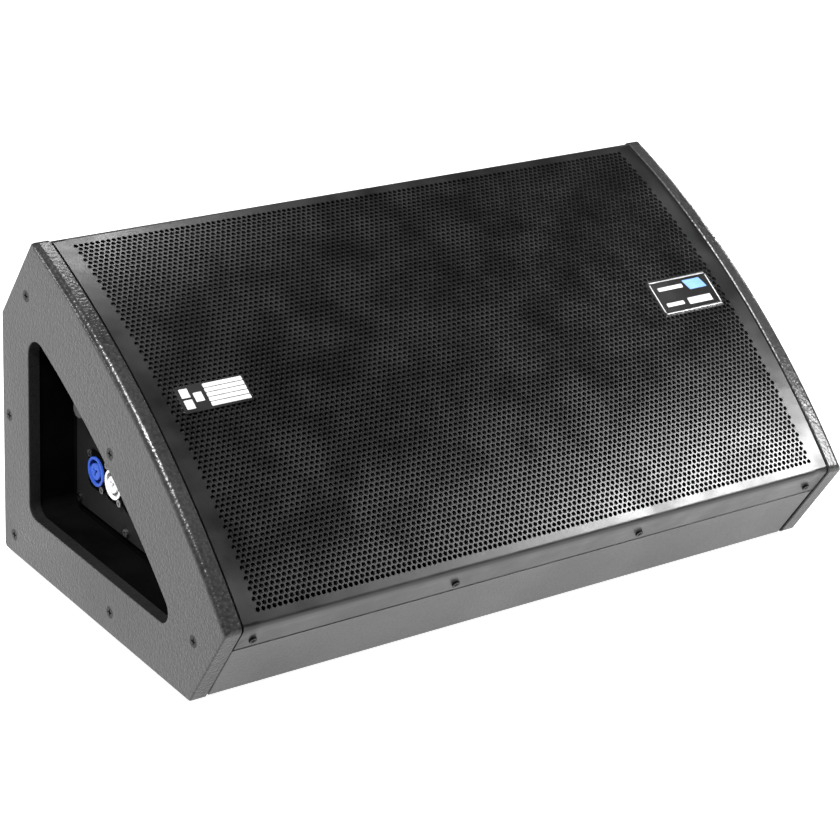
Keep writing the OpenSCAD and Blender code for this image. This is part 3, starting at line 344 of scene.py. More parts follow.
# %% Wood, paper and cloth
finish("plywood", BRUSHED, (0.46, 0.31, 0.17), (0.68, 0.52, 0.33), (0.6, 0.75), 0.06,
       {"Line Size": 1.6 * mm})
acoustic_foam = finish("acoustic_foam", CLOTH, grey(0.003), grey(0.012), (0.9, 1.0), 0.5,
                       {"Thread Size": 1.1 * mm, "Weave": 0.0})
damping_wadding = finish("damping_wadding", CLOTH, grey(0.2), grey(0.42), (0.9, 1.0), 0.9,
                         {"Thread Size": 3.0 * mm, "Weave": 0.1}, shader_values={"Sheen Weight": 0.3})
finish("cone_paper", CLOTH, grey(0.02), grey(0.05), (0.75, 0.9), 0.12,
       {"Thread Size": 2.0 * mm, "Weave": 0.1})
finish("surround_cloth", CLOTH, grey(0.015), grey(0.035), (0.6, 0.75), 0.08,
       {"Thread Size": 0.7 * mm, "Weave": 0.9})
finish("spider_cloth", CLOTH, (0.34, 0.2, 0.07), (0.55, 0.38, 0.16), (0.7, 0.85), 0.1,
       {"Thread Size": 0.8 * mm, "Weave": 1.0})
print("materials:", len(bpy.data.materials))

# %% [markdown]
# ## Finish the frame's own parts
# Parts whose shape is already right keep their mesh. Each takes the material that its slot in the record
# names. A weld and a narrow bevel modifier break the sharp corners, so that they catch a line of light.

# %% Dress the carried-over parts
BEVEL_MM = {"back_panel": 0.8, "top_panel": 0.8, "bottom_panel": 0.8, "front_lower_panel": 0.9,
            "connector_pocket": 0.6, "handle_pocket": 0.6, "jack_flanges": 0.35, "rubber_feet": 0.8,
            "power_in_socket": 0.35, "power_link_socket": 0.35, "signal_in_socket": 0.3,
            "signal_link_socket": 0.3, "release_tab": 0.3, "preset_button": 0.4, "heatsink": 0.2,
            "capacitors": 0.8, "amp_cover": 0.3}


def soften(part, width_mm):
    weld = part.modifiers.new("weld", "WELD")
    weld.merge_threshold = 0.001 * mm
    bevel = part.modifiers.new("bevel", "BEVEL")
    bevel.width, bevel.segments, bevel.limit_method = width_mm * mm, 2, "ANGLE"
    bevel.angle_limit, bevel.harden_normals = math.radians(50), True


slot_of = {s["node"]: s["material_slot"] for s in frame["record"]["subparts"]}
for name, part in nodes.items():
    material = bpy.data.materials[slot_of[name]]
    part.data.materials.clear()
    part.data.materials.append(material)
    if name in BEVEL_MM:
        soften(part, BEVEL_MM[name])
print("dressed:", len(nodes), "bevelled:", len(BEVEL_MM))

# %% [markdown]
# ## The side profile
# Everything below follows the wedge's profile, drawn as a distance from the back and a height. Four
# corners and one large radius give it. A point on the bow is found by its run from the nose upwards.

# %% Profile
NOSE_LOW, NOSE = Vector((0.290, 0)), Vector((0.338, 0.076))
CROWN, BACK_TOP = Vector((0.051, 0.274)), Vector((0, 0.2005))
BOW_R, CORNER_R, SKIN = 0.746, 0.006, 0.001
plate_low, plate_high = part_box("left_side_plate")


def spot(x, profile_point):
    return Vector((x, plate_high.y - profile_point[0], plate_low.z + profile_point[1]))


def left_of(v):
    return Vector((-v.y, v.x))


along = (NOSE - CROWN).normalized()
outward = left_of(along)
half_chord = (NOSE - CROWN).length / 2
bow_centre = (NOSE + CROWN) / 2 - outward * math.sqrt(BOW_R ** 2 - half_chord ** 2)
nose_dir, rear_dir = (NOSE - NOSE_LOW).normalized(), (CROWN - BACK_TOP).normalized()


def meets_circle(start, direction, radius):
    reach = direction.dot(start - bow_centre)
    inside = reach ** 2 - (start - bow_centre).length_squared + radius ** 2
    return start + direction * (math.sqrt(inside) - reach)


nose_corner = meets_circle(NOSE_LOW + left_of(nose_dir) * CORNER_R, nose_dir, BOW_R - CORNER_R)
crown_corner = meets_circle(BACK_TOP - left_of(rear_dir) * CORNER_R, rear_dir, BOW_R - CORNER_R)


def angle_of(v):
    return math.atan2(v.x, v.y)


def toward(angle):
    return Vector((math.sin(angle), math.cos(angle)))


nose_angle, crown_angle = angle_of(nose_corner - bow_centre), angle_of(crown_corner - bow_centre)
SHEET_R = BOW_R - SKIN
bow_run = SHEET_R * (nose_angle - crown_angle)


def on_bow(x, run, lift=0.0):
    return spot(x, bow_centre + toward(nose_angle - run / SHEET_R) * (SHEET_R + lift))


print("bow:", round(bow_run / mm, 1), "mm, top of sheet", round(on_bow(0, bow_run).z / mm, 1), "mm")

# %% Mesh helpers
def make_object(name, mesh_or_bm, materials, smooth=False):
    mesh = mesh_or_bm
    if isinstance(mesh_or_bm, bmesh.types.BMesh):
        mesh = bpy.data.meshes.new(name)
        mesh_or_bm.to_mesh(mesh)
        mesh_or_bm.free()
    if smooth:
        mesh.polygons.foreach_set("use_smooth", [True] * len(mesh.polygons))
    for material in materials:
        mesh.materials.append(material)
    piece = bpy.data.objects.new(name, mesh)
    scene.collection.objects.link(piece)
    return piece


def settle(piece, body, slot, *stands_for):
    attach(piece, body)
    if stands_for:
        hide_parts(*stands_for)
    print(piece.name, "faces:", len(piece.data.polygons))
    return piece


# %% [markdown]
# ## The punched grille
# The real sheet is punched in staggered rows and then rolled and folded. A boolean with ten thousand
# cutters would be slow and untidy, so the web between the holes is written down directly: a strut between
# each two neighbours, a triangle where three meet, and six walls down each hole.

# %% Grille pattern
HOLE_PITCH, HOLE_FLAT, SHEET_T = 4.6 * mm, 3.45 * mm, 1.5 * mm
ROW_PITCH, HOLE_R = HOLE_PITCH * math.sqrt(3) / 2, HOLE_FLAT / math.sqrt(3)
sheet_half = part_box("grille")[1].x
SIDE_MARGIN, END_MARGIN, FOLD_DROP = 12.3 * mm, 2.6 * mm, 28 * mm
columns = int((2 * (sheet_half - SIDE_MARGIN) - HOLE_FLAT) / HOLE_PITCH) + 1
rows = int((bow_run - 2 * END_MARGIN - 2 * HOLE_R) / ROW_PITCH) + 1
rows -= 1 - rows % 2
first_run = (bow_run - (rows - 1) * ROW_PITCH) / 2
print("holes:", rows * columns - rows // 2, "in", rows, "rows")


class Sheet:
    """Collects corner points and faces of one sheet of metal."""

    def __init__(self):
        self.points, self.faces, self.smooth = [], [], []

    def point(self, p):
        self.points.append(p)
        return len(self.points) - 1

    def face(self, *corners, smooth=False):
        self.faces.append(corners)
        self.smooth.append(smooth)


def row_length(row):
    return columns - row % 2


def punch_holes(sheet):
    """Six corners per hole on the face and six on the back, and the walls between them."""
    corner = {}
    turns = [math.radians(30 + 60 * k) for k in range(6)]
    for row in range(rows):
        run = first_run + row * ROW_PITCH
        for column in range(row_length(row)):
            x = (column - (row_length(row) - 1) / 2) * HOLE_PITCH
            rim = []
            for k, turn in enumerate(turns):
                where = (x + HOLE_R * math.cos(turn), run + HOLE_R * math.sin(turn))
                corner[row, column, k] = sheet.point(on_bow(*where))
                rim.append((corner[row, column, k], sheet.point(on_bow(*where, -SHEET_T))))
            for (face_a, back_a), (face_b, back_b) in zip(rim, rim[1:] + rim[:1]):
                sheet.face(face_a, face_b, back_b, back_a)
    return corner


def join_holes(sheet, corner):
    for row in range(rows):
        shift = row % 2
        for column in range(row_length(row)):
            here = (row, column)
            beside = (row, column + 1)
            above_right, above_left = (row + 1, column + shift), (row + 1, column + shift - 1)
            has_beside = column + 1 < row_length(row)
            if has_beside:
                sheet.face(corner[*here, 5], corner[*beside, 3], corner[*beside, 2], corner[*here, 0])
            if (*above_right, 0) in corner:
                sheet.face(corner[*here, 0], corner[*above_right, 4],
                           corner[*above_right, 3], corner[*here, 1])
            if (*above_left, 0) in corner:
                sheet.face(corner[*here, 1], corner[*above_left, 5], corner[*above_left, 4], corner[*here, 2])
            if has_beside and (*above_right, 0) in corner:
                sheet.face(corner[*here, 0], corner[*beside, 2], corner[*above_right, 4])
            below_right = (row - 1, column + shift)
            if has_beside and (*below_right, 0) in corner:
                sheet.face(corner[*below_right, 1], corner[*beside, 3], corner[*here, 5])


# %% Grille edges
BLOCK = 4


def side_steps(corner, row, last_column, low, high):
    """The corners that the left or right edge of the pattern steps through from one even row to the next."""
    ends = [(row + k, (row_length(row + k) - 1) if last_column else 0) for k in range(3)]
    return [corner[*ends[0], low], corner[*ends[0], high], corner[*ends[0], 1],
            corner[*ends[1], low], corner[*ends[1], high], corner[*ends[2], 4]]


def edge_margins(sheet, corner):
    """Plain strips round the pattern, and the points of the sheet's two long edges in order of X."""
    last = rows - 1
    sides = {}
    for sign in (-1, 1):
        x = sign * sheet_half
        stops = list(range(0, last, BLOCK)) + [last]
        line = {row: sheet.point(on_bow(x, first_run + row * ROW_PITCH)) for row in stops}
        low, high = (3, 2) if sign < 0 else (5, 0)
        for start, stop in zip(stops, stops[1:]):
            steps = [c for row in range(start, stop, 2) for c in side_steps(corner, row, sign > 0, low, high)]
            steps.append(corner[stop, row_length(stop) - 1 if sign > 0 else 0, low])
            loop = [line[start], *steps, line[stop]]
            sheet.face(*(loop if sign < 0 else reversed(loop)))
        sides[sign] = [line[row] for row in stops]
    ends = {}
    for row, run, near, tip, far in ((0, 0.0, 3, 4, 5), (last, bow_run, 2, 1, 0)):
        stops = list(range(0, columns - 1, BLOCK)) + [columns - 1]
        xs = {c: (c - (columns - 1) / 2) * HOLE_PITCH for c in stops}
        line = {c: sheet.point(on_bow(xs[c], run)) for c in stops}
        for start, stop in zip(stops, stops[1:]):
            steps = [corner[row, c, k] for c in range(start, stop) for k in (near, tip, far)]
            steps.append(corner[row, stop, near])
            if stop == columns - 1:
                steps += [corner[row, stop, tip], corner[row, stop, far]]
            loop = [line[start], line[stop], *reversed(steps)]
            sheet.face(*(loop if row == 0 else reversed(loop)))
        outer = {sign: sheet.point(on_bow(sign * sheet_half, run)) for sign in (-1, 1)}
        if row == 0:
            sheet.face(outer[-1], line[0], corner[0, 0, 3], sides[-1][0])
            sheet.face(line[columns - 1], outer[1], sides[1][0], corner[0, columns - 1, 5])
        else:
            extra = corner[row, 0, 3], corner[row, columns - 1, 5]
            sheet.face(sides[-1][-1], extra[0], corner[row, 0, 2], line[0], outer[-1])
            sheet.face(extra[1], sides[1][-1], outer[1], line[columns - 1], corner[row, columns - 1, 0])
        ends[row] = [outer[-1], *(line[c] for c in stops), outer[1]]
    return sides, ends


# %% Grille folds
def fold_profile(corner_centre, bow_angle, line_angle, line_dir):
    """Profile points and normals from the end of the bow round the corner and down the fold."""
    radius, steps = CORNER_R - SKIN, 7
    out = [(corner_centre, toward(bow_angle + (line_angle - bow_angle) * k / steps), radius)
           for k in range(steps + 1)]
    drop = FOLD_DROP - radius
    out.append((corner_centre + line_dir * drop, out[-1][1], radius))
    return out


def add_fold(sheet, edge, profile_steps, flip):
    xs = [sheet.points[i].x for i in edge]
    ring, back_ring = edge, None
    for step, (centre, normal, radius) in enumerate(profile_steps):
        back = [sheet.point(spot(x, centre + normal * (radius - SHEET_T))) for x in xs]
        if step:
            front = [sheet.point(spot(x, centre + normal * radius)) for x in xs]
            for k in range(len(xs) - 1):
                loop = (ring[k], front[k], front[k + 1], ring[k + 1])
                inner = (back_ring[k], back_ring[k + 1], back[k + 1], back[k])
                sheet.face(*(loop if flip else reversed(loop)), smooth=True)
                sheet.face(*(inner if flip else reversed(inner)), smooth=True)
            for end in (0, -1):
                cap = (ring[end], back_ring[end], back[end], front[end])
                sheet.face(*(cap if (end == 0) == flip else reversed(cap)))
            ring = front
        back_ring = back
    for k in range(len(xs) - 1):
        lip = (ring[k], back_ring[k], back_ring[k + 1], ring[k + 1])
        sheet.face(*(lip if flip else reversed(lip)))


def raw_edges(sheet, sides, ends):
    """The cut thickness of the sheet along its two short ends."""
    for sign in (-1, 1):
        line = [ends[0][0 if sign < 0 else -1], *sides[sign], ends[rows - 1][0 if sign < 0 else -1]]
        runs = [0.0, *(first_run + r * ROW_PITCH for r in [*range(0, rows - 1, BLOCK), rows - 1]), bow_run]
        back = [sheet.point(on_bow(sign * sheet_half, run, -SHEET_T)) for run in runs]
        for k in range(len(line) - 1):
            strip = (line[k], line[k + 1], back[k + 1], back[k])
            sheet.face(*(strip if sign < 0 else reversed(strip)))


def make_grille():
    sheet = Sheet()
    corner = punch_holes(sheet)
    join_holes(sheet, corner)
    sides, ends = edge_margins(sheet, corner)
    raw_edges(sheet, sides, ends)
    nose_line, rear_line = angle_of(-left_of(nose_dir)), angle_of(left_of(rear_dir))
    add_fold(sheet, ends[0], fold_profile(nose_corner, nose_angle, nose_line, -nose_dir), True)
    add_fold(sheet, ends[rows - 1], fold_profile(crown_corner, crown_angle, rear_line, -rear_dir), False)
    mesh = bpy.data.meshes.new("punched_grille")
    mesh.from_pydata(sheet.points, [], sheet.faces)
    mesh.polygons.foreach_set("use_smooth", sheet.smooth)
    mesh.update()
    return make_object("punched_grille", mesh, [grille_paint])


settle(make_grille(), "cabinet", "grille_paint", "grille")

# %% [markdown]
# ## Side plates
# The plates are thick plywood with a hard pebbled paint. Their long bowed edge is rounded generously
# outside and the other edges only a little, so the rounding is swept round the outline with a radius that
# changes along it. The openings and the countersinks are loops in the same face.
# Past the rounded lip, the walls of each opening take a darker, duller copy of the paint: painted shade in
# the recess.

# %% Outlines
EDGE_BOW, EDGE_PLAIN, PLATE_CORNER = 5.6 * mm, 1.4 * mm, 4 * mm
OPEN_BACK, OPEN_FLOOR, OPEN_BAND, OPEN_R, OPEN_TOP_R = (v * mm for v in (43.5, 45, 69, 11, 15))


def arc(centre, radius, start, stop, steps):
    return [centre + toward(start + (stop - start) * k / steps) * radius for k in range(steps + 1)]


def line_corner(tip, d1, d2, radius, steps=6):
    """A round corner between two sides that leave tip along d1 and d2."""
    half = math.acos(max(-1, min(1, d1.dot(d2)))) / 2
    centre = tip + (d1 + d2).normalized() * radius / math.sin(half)
    start = angle_of(tip + d1 * radius / math.tan(half) - centre)
    stop = angle_of(tip + d2 * radius / math.tan(half) - centre)
    turn = (stop - start + math.pi) % (2 * math.pi) - math.pi
    return arc(centre, radius, start, start + turn, steps)


def smooth_step(t):
    return t * t * (3 - 2 * t)


def plate_outline():
    """Points round the plate and how much of the bow's wide rounding each takes, from 0 to 1."""
    nose_side, rear_side = angle_of(-left_of(nose_dir)), angle_of(left_of(rear_dir))
    steps, bow_steps = 8, 72
    points = line_corner(Vector((0, 0)), Vector((0, 1)), Vector((1, 0)), PLATE_CORNER)
    points += line_corner(NOSE_LOW, Vector((-1, 0)), nose_dir, PLATE_CORNER)
    wide = [0.0] * len(points)
    points += arc(nose_corner, CORNER_R, nose_side, nose_angle, steps)
    wide += [smooth_step(k / steps) for k in range(steps + 1)]
    points += arc(bow_centre, BOW_R, nose_angle, crown_angle, bow_steps)[1:]
    wide += [1.0] * bow_steps
    points += arc(crown_corner, CORNER_R, crown_angle, rear_side, steps)[1:]
    wide += [smooth_step(1 - k / steps) for k in range(1, steps + 1)]
    points += line_corner(BACK_TOP, rear_dir, Vector((0, -1)), PLATE_CORNER)
    wide += [0.0] * (len(points) - len(wide))
    return points, wide


def opening_outline():
    """The three-sided opening: upright back, level floor and an arc that runs with the bow."""
    reach = BOW_R - OPEN_BAND
    inner = reach - OPEN_R
    floor_y, back_x = OPEN_FLOOR + OPEN_R, OPEN_BACK + OPEN_R
    tip = meets_circle(Vector((0, floor_y)), Vector((1, 0)), inner)
    top = meets_circle(Vector((OPEN_BACK + OPEN_TOP_R, 0)), Vector((0, 1)), reach - OPEN_TOP_R)
    tip_angle, top_angle = angle_of(tip - bow_centre), angle_of(top - bow_centre)
    points = arc(Vector((back_x, floor_y)), OPEN_R, -math.pi / 2, -math.pi, 8)
    points += arc(tip, OPEN_R, math.pi, tip_angle, 10)
    points += arc(bow_centre, reach, tip_angle, top_angle, 24)[1:]
    points += arc(top, OPEN_TOP_R, top_angle, -math.pi / 2, 10)[1:]
    return points


def normals_of(points):
    """Outward normals of a closed outline that runs anticlockwise."""
    found = []
    for k, p in enumerate(points):
        before, after = points[k - 1], points[(k + 1) % len(points)]
        run = (after - before).normalized()
        found.append(Vector((run.y, -run.x)))
    return found


outline, wide = plate_outline()
hole = opening_outline()
for label, loop in (("plate", outline), ("opening", hole)):
    area = sum(a.cross(b) for a, b in zip(loop, loop[1:] + loop[:1])) / 2
    print(label, "outline:", len(loop), "points, area", round(area / mm ** 2))


# %% Where the separate solids of a node lie
def solids_of(node):
    """The middle and the size of each solid in a node, found by joining faces that share a corner."""
    bm = bmesh.new()
    bm.from_mesh(nodes[node].data)
    bmesh.ops.remove_doubles(bm, verts=bm.verts, dist=0.002 * mm)
    found, seen = [], set()
    for start in bm.verts:
        if start in seen:
            continue
        group, queue = [], [start]
        seen.add(start)
        while queue:
            v = queue.pop()
            group.append(v.co.copy())
            for edge in v.link_edges:
                other = edge.other_vert(v)
                if other not in seen:
                    seen.add(other)
                    queue.append(other)
        low = Vector(min(c[k] for c in group) for k in range(3))
        high = Vector(max(c[k] for c in group) for k in range(3))
        found.append(((low + high) / 2, high - low))
    bm.free()
    return found


def bridge(bm, ring_a, ring_b):
    count = len(ring_a)
    for k in range(count):
        n = (k + 1) % count
        bm.faces.new((ring_a[k], ring_a[n], ring_b[n], ring_b[k]))


def fill(bm, rings):
    """A flat face between closed rings of points, the first of them outermost."""
    edges = []
    for ring in rings:
        for k, v in enumerate(ring):
            other = ring[(k + 1) % len(ring)]
            edges.append(bm.edges.get((v, other)) or bm.edges.new((v, other)))
    bmesh.ops.triangle_fill(bm, edges=edges, use_beauty=True, use_dissolve=False)


def crisp(piece, degrees=35):
    """Smooth shading that stays sharp at real corners and flat on flat faces."""
    mesh = piece.data
    mesh.polygons.foreach_set("use_smooth", [True] * len(mesh.polygons))
    mesh.set_sharp_from_angle(angle=math.radians(degrees))
    weighted = piece.modifiers.new("weighted_normals", "WEIGHTED_NORMAL")
    weighted.keep_sharp = True
    return piece


# %% Build both plates
PLATE_T, REBATE_DEPTH, REBATE_WIDTH, HOLE_EDGE = 14 * mm, 9.5 * mm, 15 * mm, 1.1 * mm
HEAD_R, HEAD_DEPTH, SHANK_R = 4.8 * mm, 2.7 * mm, 2.2 * mm
QUARTER = [math.radians(90 * k / 6) for k in range(7)]
INNER_EDGE, PAINTED_RINGS = 0.8 * mm, 3


def make_plate(name, side, node):
    face_x = side * abs(plate_low.x)
    bm = bmesh.new()
    rim_normals, hole_normals = normals_of(outline), normals_of(hole)

    def ring(points, normals, offsets, depth):
        depths = depth if isinstance(depth, list) else [depth] * len(points)
        return [bm.verts.new(spot(face_x - side * d, p + n * o))
                for p, n, o, d in zip(points, normals, offsets, depths)]

    radii = [EDGE_PLAIN + (EDGE_BOW - EDGE_PLAIN) * w for w in wide]
    rim = []
    for q in QUARTER:
        insets = [-r * (1 - math.sin(q)) for r in radii]
        rim.append(ring(outline, rim_normals, insets, [r * (1 - math.cos(q)) for r in radii]))
    rim.append(ring(outline, rim_normals, [0] * len(outline), PLATE_T - INNER_EDGE))
    rim.append(ring(outline, rim_normals, [-INNER_EDGE] * len(outline), PLATE_T))
    sunk = []
    for q in QUARTER:
        offsets = [HOLE_EDGE * (1 - math.sin(q))] * len(hole)
        sunk.append(ring(hole, hole_normals, offsets, HOLE_EDGE * (1 - math.cos(q))))
    for offset, depth in ((0, REBATE_DEPTH), (REBATE_WIDTH, REBATE_DEPTH), (REBATE_WIDTH, PLATE_T)):
        sunk.append(ring(hole, hole_normals, [offset] * len(hole), depth))
    for rings in (rim, sunk):
        for ring_a, ring_b in zip(rings, rings[1:]):
            bridge(bm, ring_a, ring_b)
    # Faces past the first rings of the opening take the darker paint, as painted shade; the first rings keep
    # the plate paint.
    inside = {v for rings in sunk[PAINTED_RINGS:] for v in rings}
    for face in bm.faces:
        face.material_index = int(all(v in inside for v in face.verts))
    heads = []
    for centre, size in solids_of("side_plate_screws"):
        if centre.x * side < 0:
            continue
        profile = Vector((plate_high.y - centre.y, centre.z - plate_low.z))
        circle = [toward(-math.radians(15 * k)) for k in range(24)]
        top, low = ([bm.verts.new(spot(face_x - side * d, profile + c * r)) for c in circle]
                    for r, d in ((HEAD_R, 0), (SHANK_R, HEAD_DEPTH)))
        bridge(bm, top, low)
        bm.faces.new(low)
        heads.append(top)
    fill(bm, [rim[0], sunk[0], *heads])
    fill(bm, [rim[-1], sunk[-1]])
    bmesh.ops.recalc_face_normals(bm, faces=bm.faces)
    piece = crisp(make_object(name, bm, [plate_paint, rim_shade_paint]))
    return settle(piece, "cabinet", "plate_paint", node)


make_plate("rounded_left_plate", -1, "left_side_plate")
make_plate("rounded_right_plate", 1, "right_side_plate")

# %% [markdown]
# ## Badges
# Each badge is a thin plate bent to the bow. It is drawn flat, bevelled, and then laid on the bow through the
# same function that placed the grille. The marks on it are plain blocks and bars that say nothing.

# %% Badges
BADGE_SEAT, BADGE_T = 0.15 * mm, 1.35 * mm
FIELD_CORNER, FIELD_EDGE, FIELD_TOP = 1.2 * mm, 0.25 * mm, BADGE_SEAT + BADGE_T * 0.7
MARK_CORNER, MARK_EDGE, MARK_BASE = 0.5 * mm, 0.12 * mm, BADGE_SEAT + BADGE_T * 0.6


def bent_tile(bm, x, run, low, high, corner, edge, material, slant=0.0):
    """A round-cornered tile over the ranges x and run, standing from low to high over the sheet."""
    fresh = bmesh.new()
    bmesh.ops.create_cube(fresh, size=1.0)
    centre = Vector(((x[0] + x[1]) / 2, (run[0] + run[1]) / 2, (low + high) / 2))
    size = Vector((x[1] - x[0], run[1] - run[0], high - low))
    for v in fresh.verts:
        v.co = Vector(c * s for c, s in zip(v.co, size))
    posts = [e for e in fresh.edges if abs(e.verts[0].co.z - e.verts[1].co.z) > size.z / 2]
    bmesh.ops.bevel(fresh, geom=posts, offset=corner, segments=4, affect="EDGES", profile=0.5)
    top = [e for e in fresh.edges if all(v.co.z > size.z * 0.49 for v in e.verts)]
    bmesh.ops.bevel(fresh, geom=top, offset=edge, segments=2, affect="EDGES", profile=0.5)
    cuts = max(2, int(size.y / (3 * mm)))
    for k in range(1, cuts):
        level = -size.y / 2 + size.y * k / cuts
        bmesh.ops.bisect_plane(fresh, geom=fresh.verts[:] + fresh.edges[:] + fresh.faces[:],
                               plane_co=(0, level, 0), plane_no=(0, 1, 0))
    moved = {}
    for v in fresh.verts:
        at = v.co + centre
        moved[v] = bm.verts.new(on_bow(at.x + slant * (at.y - centre.y), at.y, at.z))
    for face in fresh.faces:
        bm.faces.new([moved[v] for v in face.verts]).material_index = material
    fresh.free()


def badge_span(node):
    """The X range and the run range of a badge's place on the bow."""
    low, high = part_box(node)
    centre = (low + high) / 2
    profile = Vector((plate_high.y - centre.y, centre.z - plate_low.z)) - bow_centre
    run = (nose_angle - angle_of(profile)) * SHEET_R
    reach = math.hypot(high.y - low.y, high.z - low.z) / 2
    return (low.x, high.x), (run - reach, run + reach)


def within(span, low, high):
    return tuple(span[0] + (span[1] - span[0]) * f for f in (low, high))


def make_badge(name, node, tiles):
    bm = bmesh.new()
    x, run = badge_span(node)
    bent_tile(bm, x, run, BADGE_SEAT, FIELD_TOP, FIELD_CORNER, FIELD_EDGE, 0)
    for (x0, x1), (r0, r1), material, slant in tiles:
        bent_tile(bm, within(x, x0, x1), within(run, r0, r1), MARK_BASE, BADGE_SEAT + BADGE_T,
                  MARK_CORNER, MARK_EDGE, material, slant)
    piece = crisp(make_object(name, bm, [badge_field, badge_metal, badge_blue]))
    return settle(piece, "cabinet", "badge_metal", node)


LEFT_TILES = [((0.05, 0.17), (0.12, 0.46), 1, 0), ((0.05, 0.17), (0.54, 0.88), 1, 0)]
LEFT_TILES += [((0.22, 0.34), (0.33, 0.67), 1, 0)]
LEFT_TILES += [((0.40, 0.97), (low, low + 0.15), 1, 0) for low in (0.08, 0.255, 0.43, 0.605, 0.78)]
RIGHT_TILES = [((0.04, 0.96), low_high, 1, 0) for low_high in ((0.035, 0.055), (0.945, 0.965))]
RIGHT_TILES += [(low_high, (0.09, 0.91), 1, 0) for low_high in ((0.03, 0.04), (0.96, 0.97))]
RIGHT_TILES += [((0.12, 0.52), (0.68, 0.78), 1, 0), ((0.58, 0.86), (0.58, 0.86), 2, -0.35)]
RIGHT_TILES += [((0.12, 0.40), (0.22, 0.32), 1, 0), ((0.48, 0.86), (0.18, 0.36), 1, 0)]
make_badge("left_badge_plate", "left_badge", LEFT_TILES)
make_badge("right_badge_plate", "right_badge", RIGHT_TILES)

# %% [markdown]
# ## Soft fillings
# Foam lies close behind the grille and keeps the holes black, and wadding lines the cabinet. Both start as
# a fine grid of points that a seeded random field lifts a little, so that no face is dead flat.

# %% Foam behind the grille
def padded_block(name, place, counts, material, bulge):
    """A closed block of cells. place maps numbers from 0 to 1 to a point, and bulge moves them first."""
    bm = bmesh.new()
    index = {}

    def vertex(i, j, k):
        key = (i, j, k)
        if key not in index:
            cell = [c / n for c, n in zip(key, counts)]
            index[key] = bm.verts.new(place(*bulge(*cell)))
        return index[key]

    for axis in range(3):
        a, b = [n for n in range(3) if n != axis]
        for end in (0, counts[axis]):
            for i in range(counts[a]):
                for j in range(counts[b]):
                    loop = []
                    for di, dj in ((0, 0), (1, 0), (1, 1), (0, 1)):
                        key = [0, 0, 0]
                        key[axis], key[a], key[b] = end, i + di, j + dj
                        loop.append(vertex(*key))
                    bm.faces.new(loop)
    bmesh.ops.recalc_face_normals(bm, faces=bm.faces)
    return make_object(name, bm, [material], smooth=True)


dice = random.Random(7)
BUMPS = [(dice.random(), dice.random(), dice.uniform(0.02, 0.07), dice.uniform(-1, 1)) for _ in range(60)]


def waviness(a, b):
    """A smooth seeded field over a unit square, about -1 to 1."""
    total = sum(h * math.exp(-((a - x) ** 2 + (b - y) ** 2) / (2 * w * w)) for x, y, w, h in BUMPS)
    return max(-1.0, min(1.0, total))


FOAM_GAP, FOAM_T, FOAM_END = 0.35 * mm, 4.8 * mm, 10 * mm
FOAM_CELLS = (96, 60, 2)
foam_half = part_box("grille_foam")[1].x


def foam_place(a, b, c):
    lift = -(SHEET_T + FOAM_GAP + (1 - c) * FOAM_T)
    return on_bow((2 * a - 1) * foam_half, FOAM_END + b * (bow_run - 2 * FOAM_END), lift)


def foam_bulge(a, b, c):
    edge = min(a, 1 - a) * 40, min(b, 1 - b) * 30
    crown = min(1.0, min(edge))
    return a, b, 0.5 + (c - 0.5) * (0.8 + 0.15 * crown + 0.04 * waviness(a, b))


foam = padded_block("foam_sheet", foam_place, FOAM_CELLS, acoustic_foam, foam_bulge)
settle(foam, "cabinet", "acoustic_foam", "grille_foam")

# %% Wadding in the cabinet
PAD_CELLS, PAD_LAYERS = 48, 3


def make_wadding():
    for number, (centre, size) in enumerate(sorted(solids_of("damping_foam"), key=lambda s: s[0].z), 1):
        thin = min(range(3), key=lambda k: size[k])

        def place(a, b, c, centre=centre, size=size):
            return centre + Vector((f - 0.5) * s for f, s in zip((a, b, c), size))

        def bulge(a, b, c, thin=thin):
            cell = [a, b, c]
            wide_axes = [k for k in range(3) if k != thin]
            u, v = (cell[k] for k in wide_axes)
            crown = min(1.0, 9 * min(u, 1 - u, v, 1 - v)) ** 0.5
            cell[thin] = 0.5 + (cell[thin] - 0.5) * (0.62 + 0.26 * crown + 0.1 * waviness(u, v))
            return cell

        counts = [PAD_LAYERS if k == thin else PAD_CELLS for k in range(3)]
        pad = padded_block(f"wadding_{number}", place, counts, damping_wadding, bulge)
        yield pad


pads = list(make_wadding())
for pad in pads:
    settle(pad, "cabinet", "damping_wadding", *(["damping_foam"] if pad is pads[0] else []))

# %% [markdown]
# ## Level knob
# The knob is a turned shape with flutes for the fingers, so its rings are drawn as circles whose radius
# ripples. A pale line on the cap shows where it points, and the whole piece turns with its body.

# %% Knob
FLUTES, KNOB_POINTS, FLUTE_DEPTH = 20, 160, 0.55 * mm
KNOB_DEPTH, KNOB_BORE, LINE_HALF = 10.5 * mm, 2.95 * mm, 0.5 * mm
# Each row: distance from the cap and distance inside the full radius, both in mm, and the share of fluting.
KNOB_STEPS = [(0, 2.4, 0), (0.3, 1.5, 0), (0.9, 0.9, 0.3), (2.0, 0.5, 1), (8.0, 0.15, 1),
              (8.6, 0.05, 0.2), (9.0, 0, 0), (10.2, 0, 0), (10.5, 0.3, 0)]


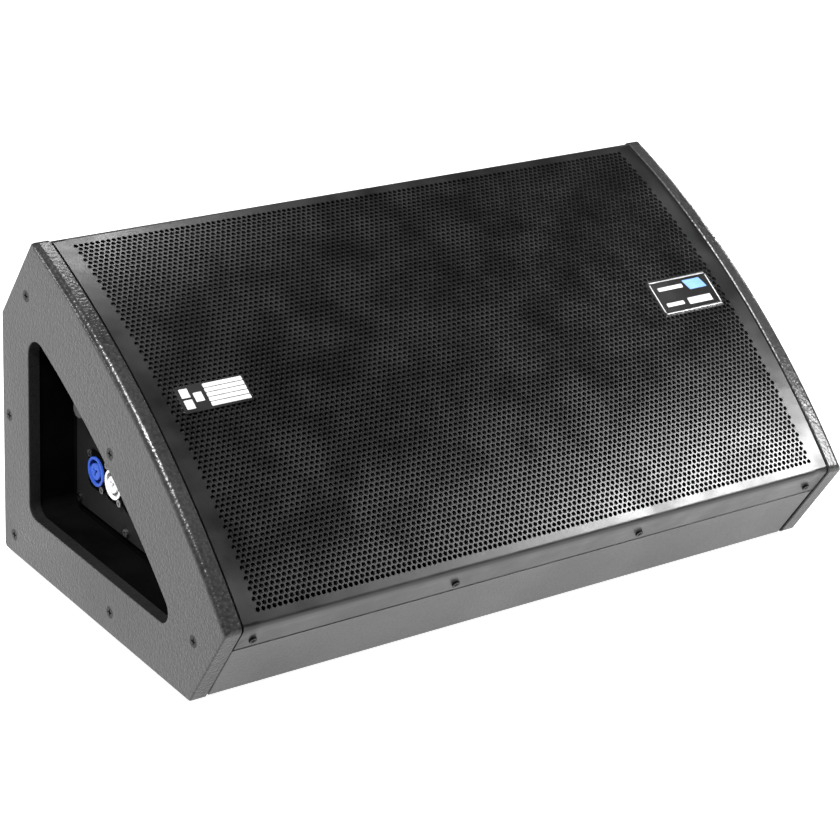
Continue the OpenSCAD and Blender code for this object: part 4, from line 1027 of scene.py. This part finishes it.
def make_knob():
    low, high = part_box("level_knob")
    centre_y, centre_z = (low.y + high.y) / 2, (low.z + high.z) / 2
    radius = (high.z - low.z) / 2
    cap = low.x
    steps = [(cap, 0.0, 0)]
    steps += [(cap + x * mm, radius - inset * mm, depth) for x, inset, depth in KNOB_STEPS]
    steps += [(cap + KNOB_DEPTH, KNOB_BORE, 0), (high.x, KNOB_BORE, 0), (high.x, 0.0, 0)]
    bm = bmesh.new()
    rings = []
    for x, r, depth in steps:
        if r == 0.0:
            rings.append([bm.verts.new((x, centre_y, centre_z))])
            continue
        ring = []
        for k in range(KNOB_POINTS):
            turn = 2 * math.pi * k / KNOB_POINTS
            reach = r - depth * FLUTE_DEPTH * max(0.0, math.cos(turn * FLUTES)) ** 2
            across, up = reach * math.sin(turn), reach * math.cos(turn)
            ring.append(bm.verts.new((x, centre_y + across, centre_z + up)))
        rings.append(ring)
    for a, b in zip(rings, rings[1:]):
        if len(a) == 1 or len(b) == 1:
            tip, ring = (a[0], b) if len(a) == 1 else (b[0], a)
            for k in range(KNOB_POINTS):
                bm.faces.new((tip, ring[k], ring[(k + 1) % KNOB_POINTS]))
        else:
            bridge(bm, a, b)
    bmesh.ops.recalc_face_normals(bm, faces=bm.faces)
    for face in bm.faces:
        middle = face.calc_center_median()
        on_line = abs(middle.y - centre_y) < LINE_HALF and middle.z - centre_z > 2 * mm
        face.material_index = 1 if on_line and middle.x < cap + 8 * mm else 0
    piece = crisp(make_object("fluted_knob", bm, [knob_plastic, white_plastic]))
    return settle(piece, "knob", "knob_plastic", "level_knob")


make_knob()

# %% [markdown]
# ## Floor
# A plain pale floor, far wider than the view, carries the cabinet. It glows, so that it looks white and
# lights the low faces.

# %% Floor
floor_mesh = bpy.data.meshes.new("floor")
floor_mesh.from_pydata([(-30, -30, 0), (30, -30, 0), (30, 30, 0), (-30, 30, 0)], [], [(0, 1, 2, 3)])
floor_paint = finish("floor_paint", GRAIN, grey(0.46), grey(0.5), (0.6, 0.7), 0.02,
                     shader_values={"Emission Color": (1, 1, 1, 1), "Emission Strength": 0.95})
floor = make_object("floor", floor_mesh, [floor_paint])
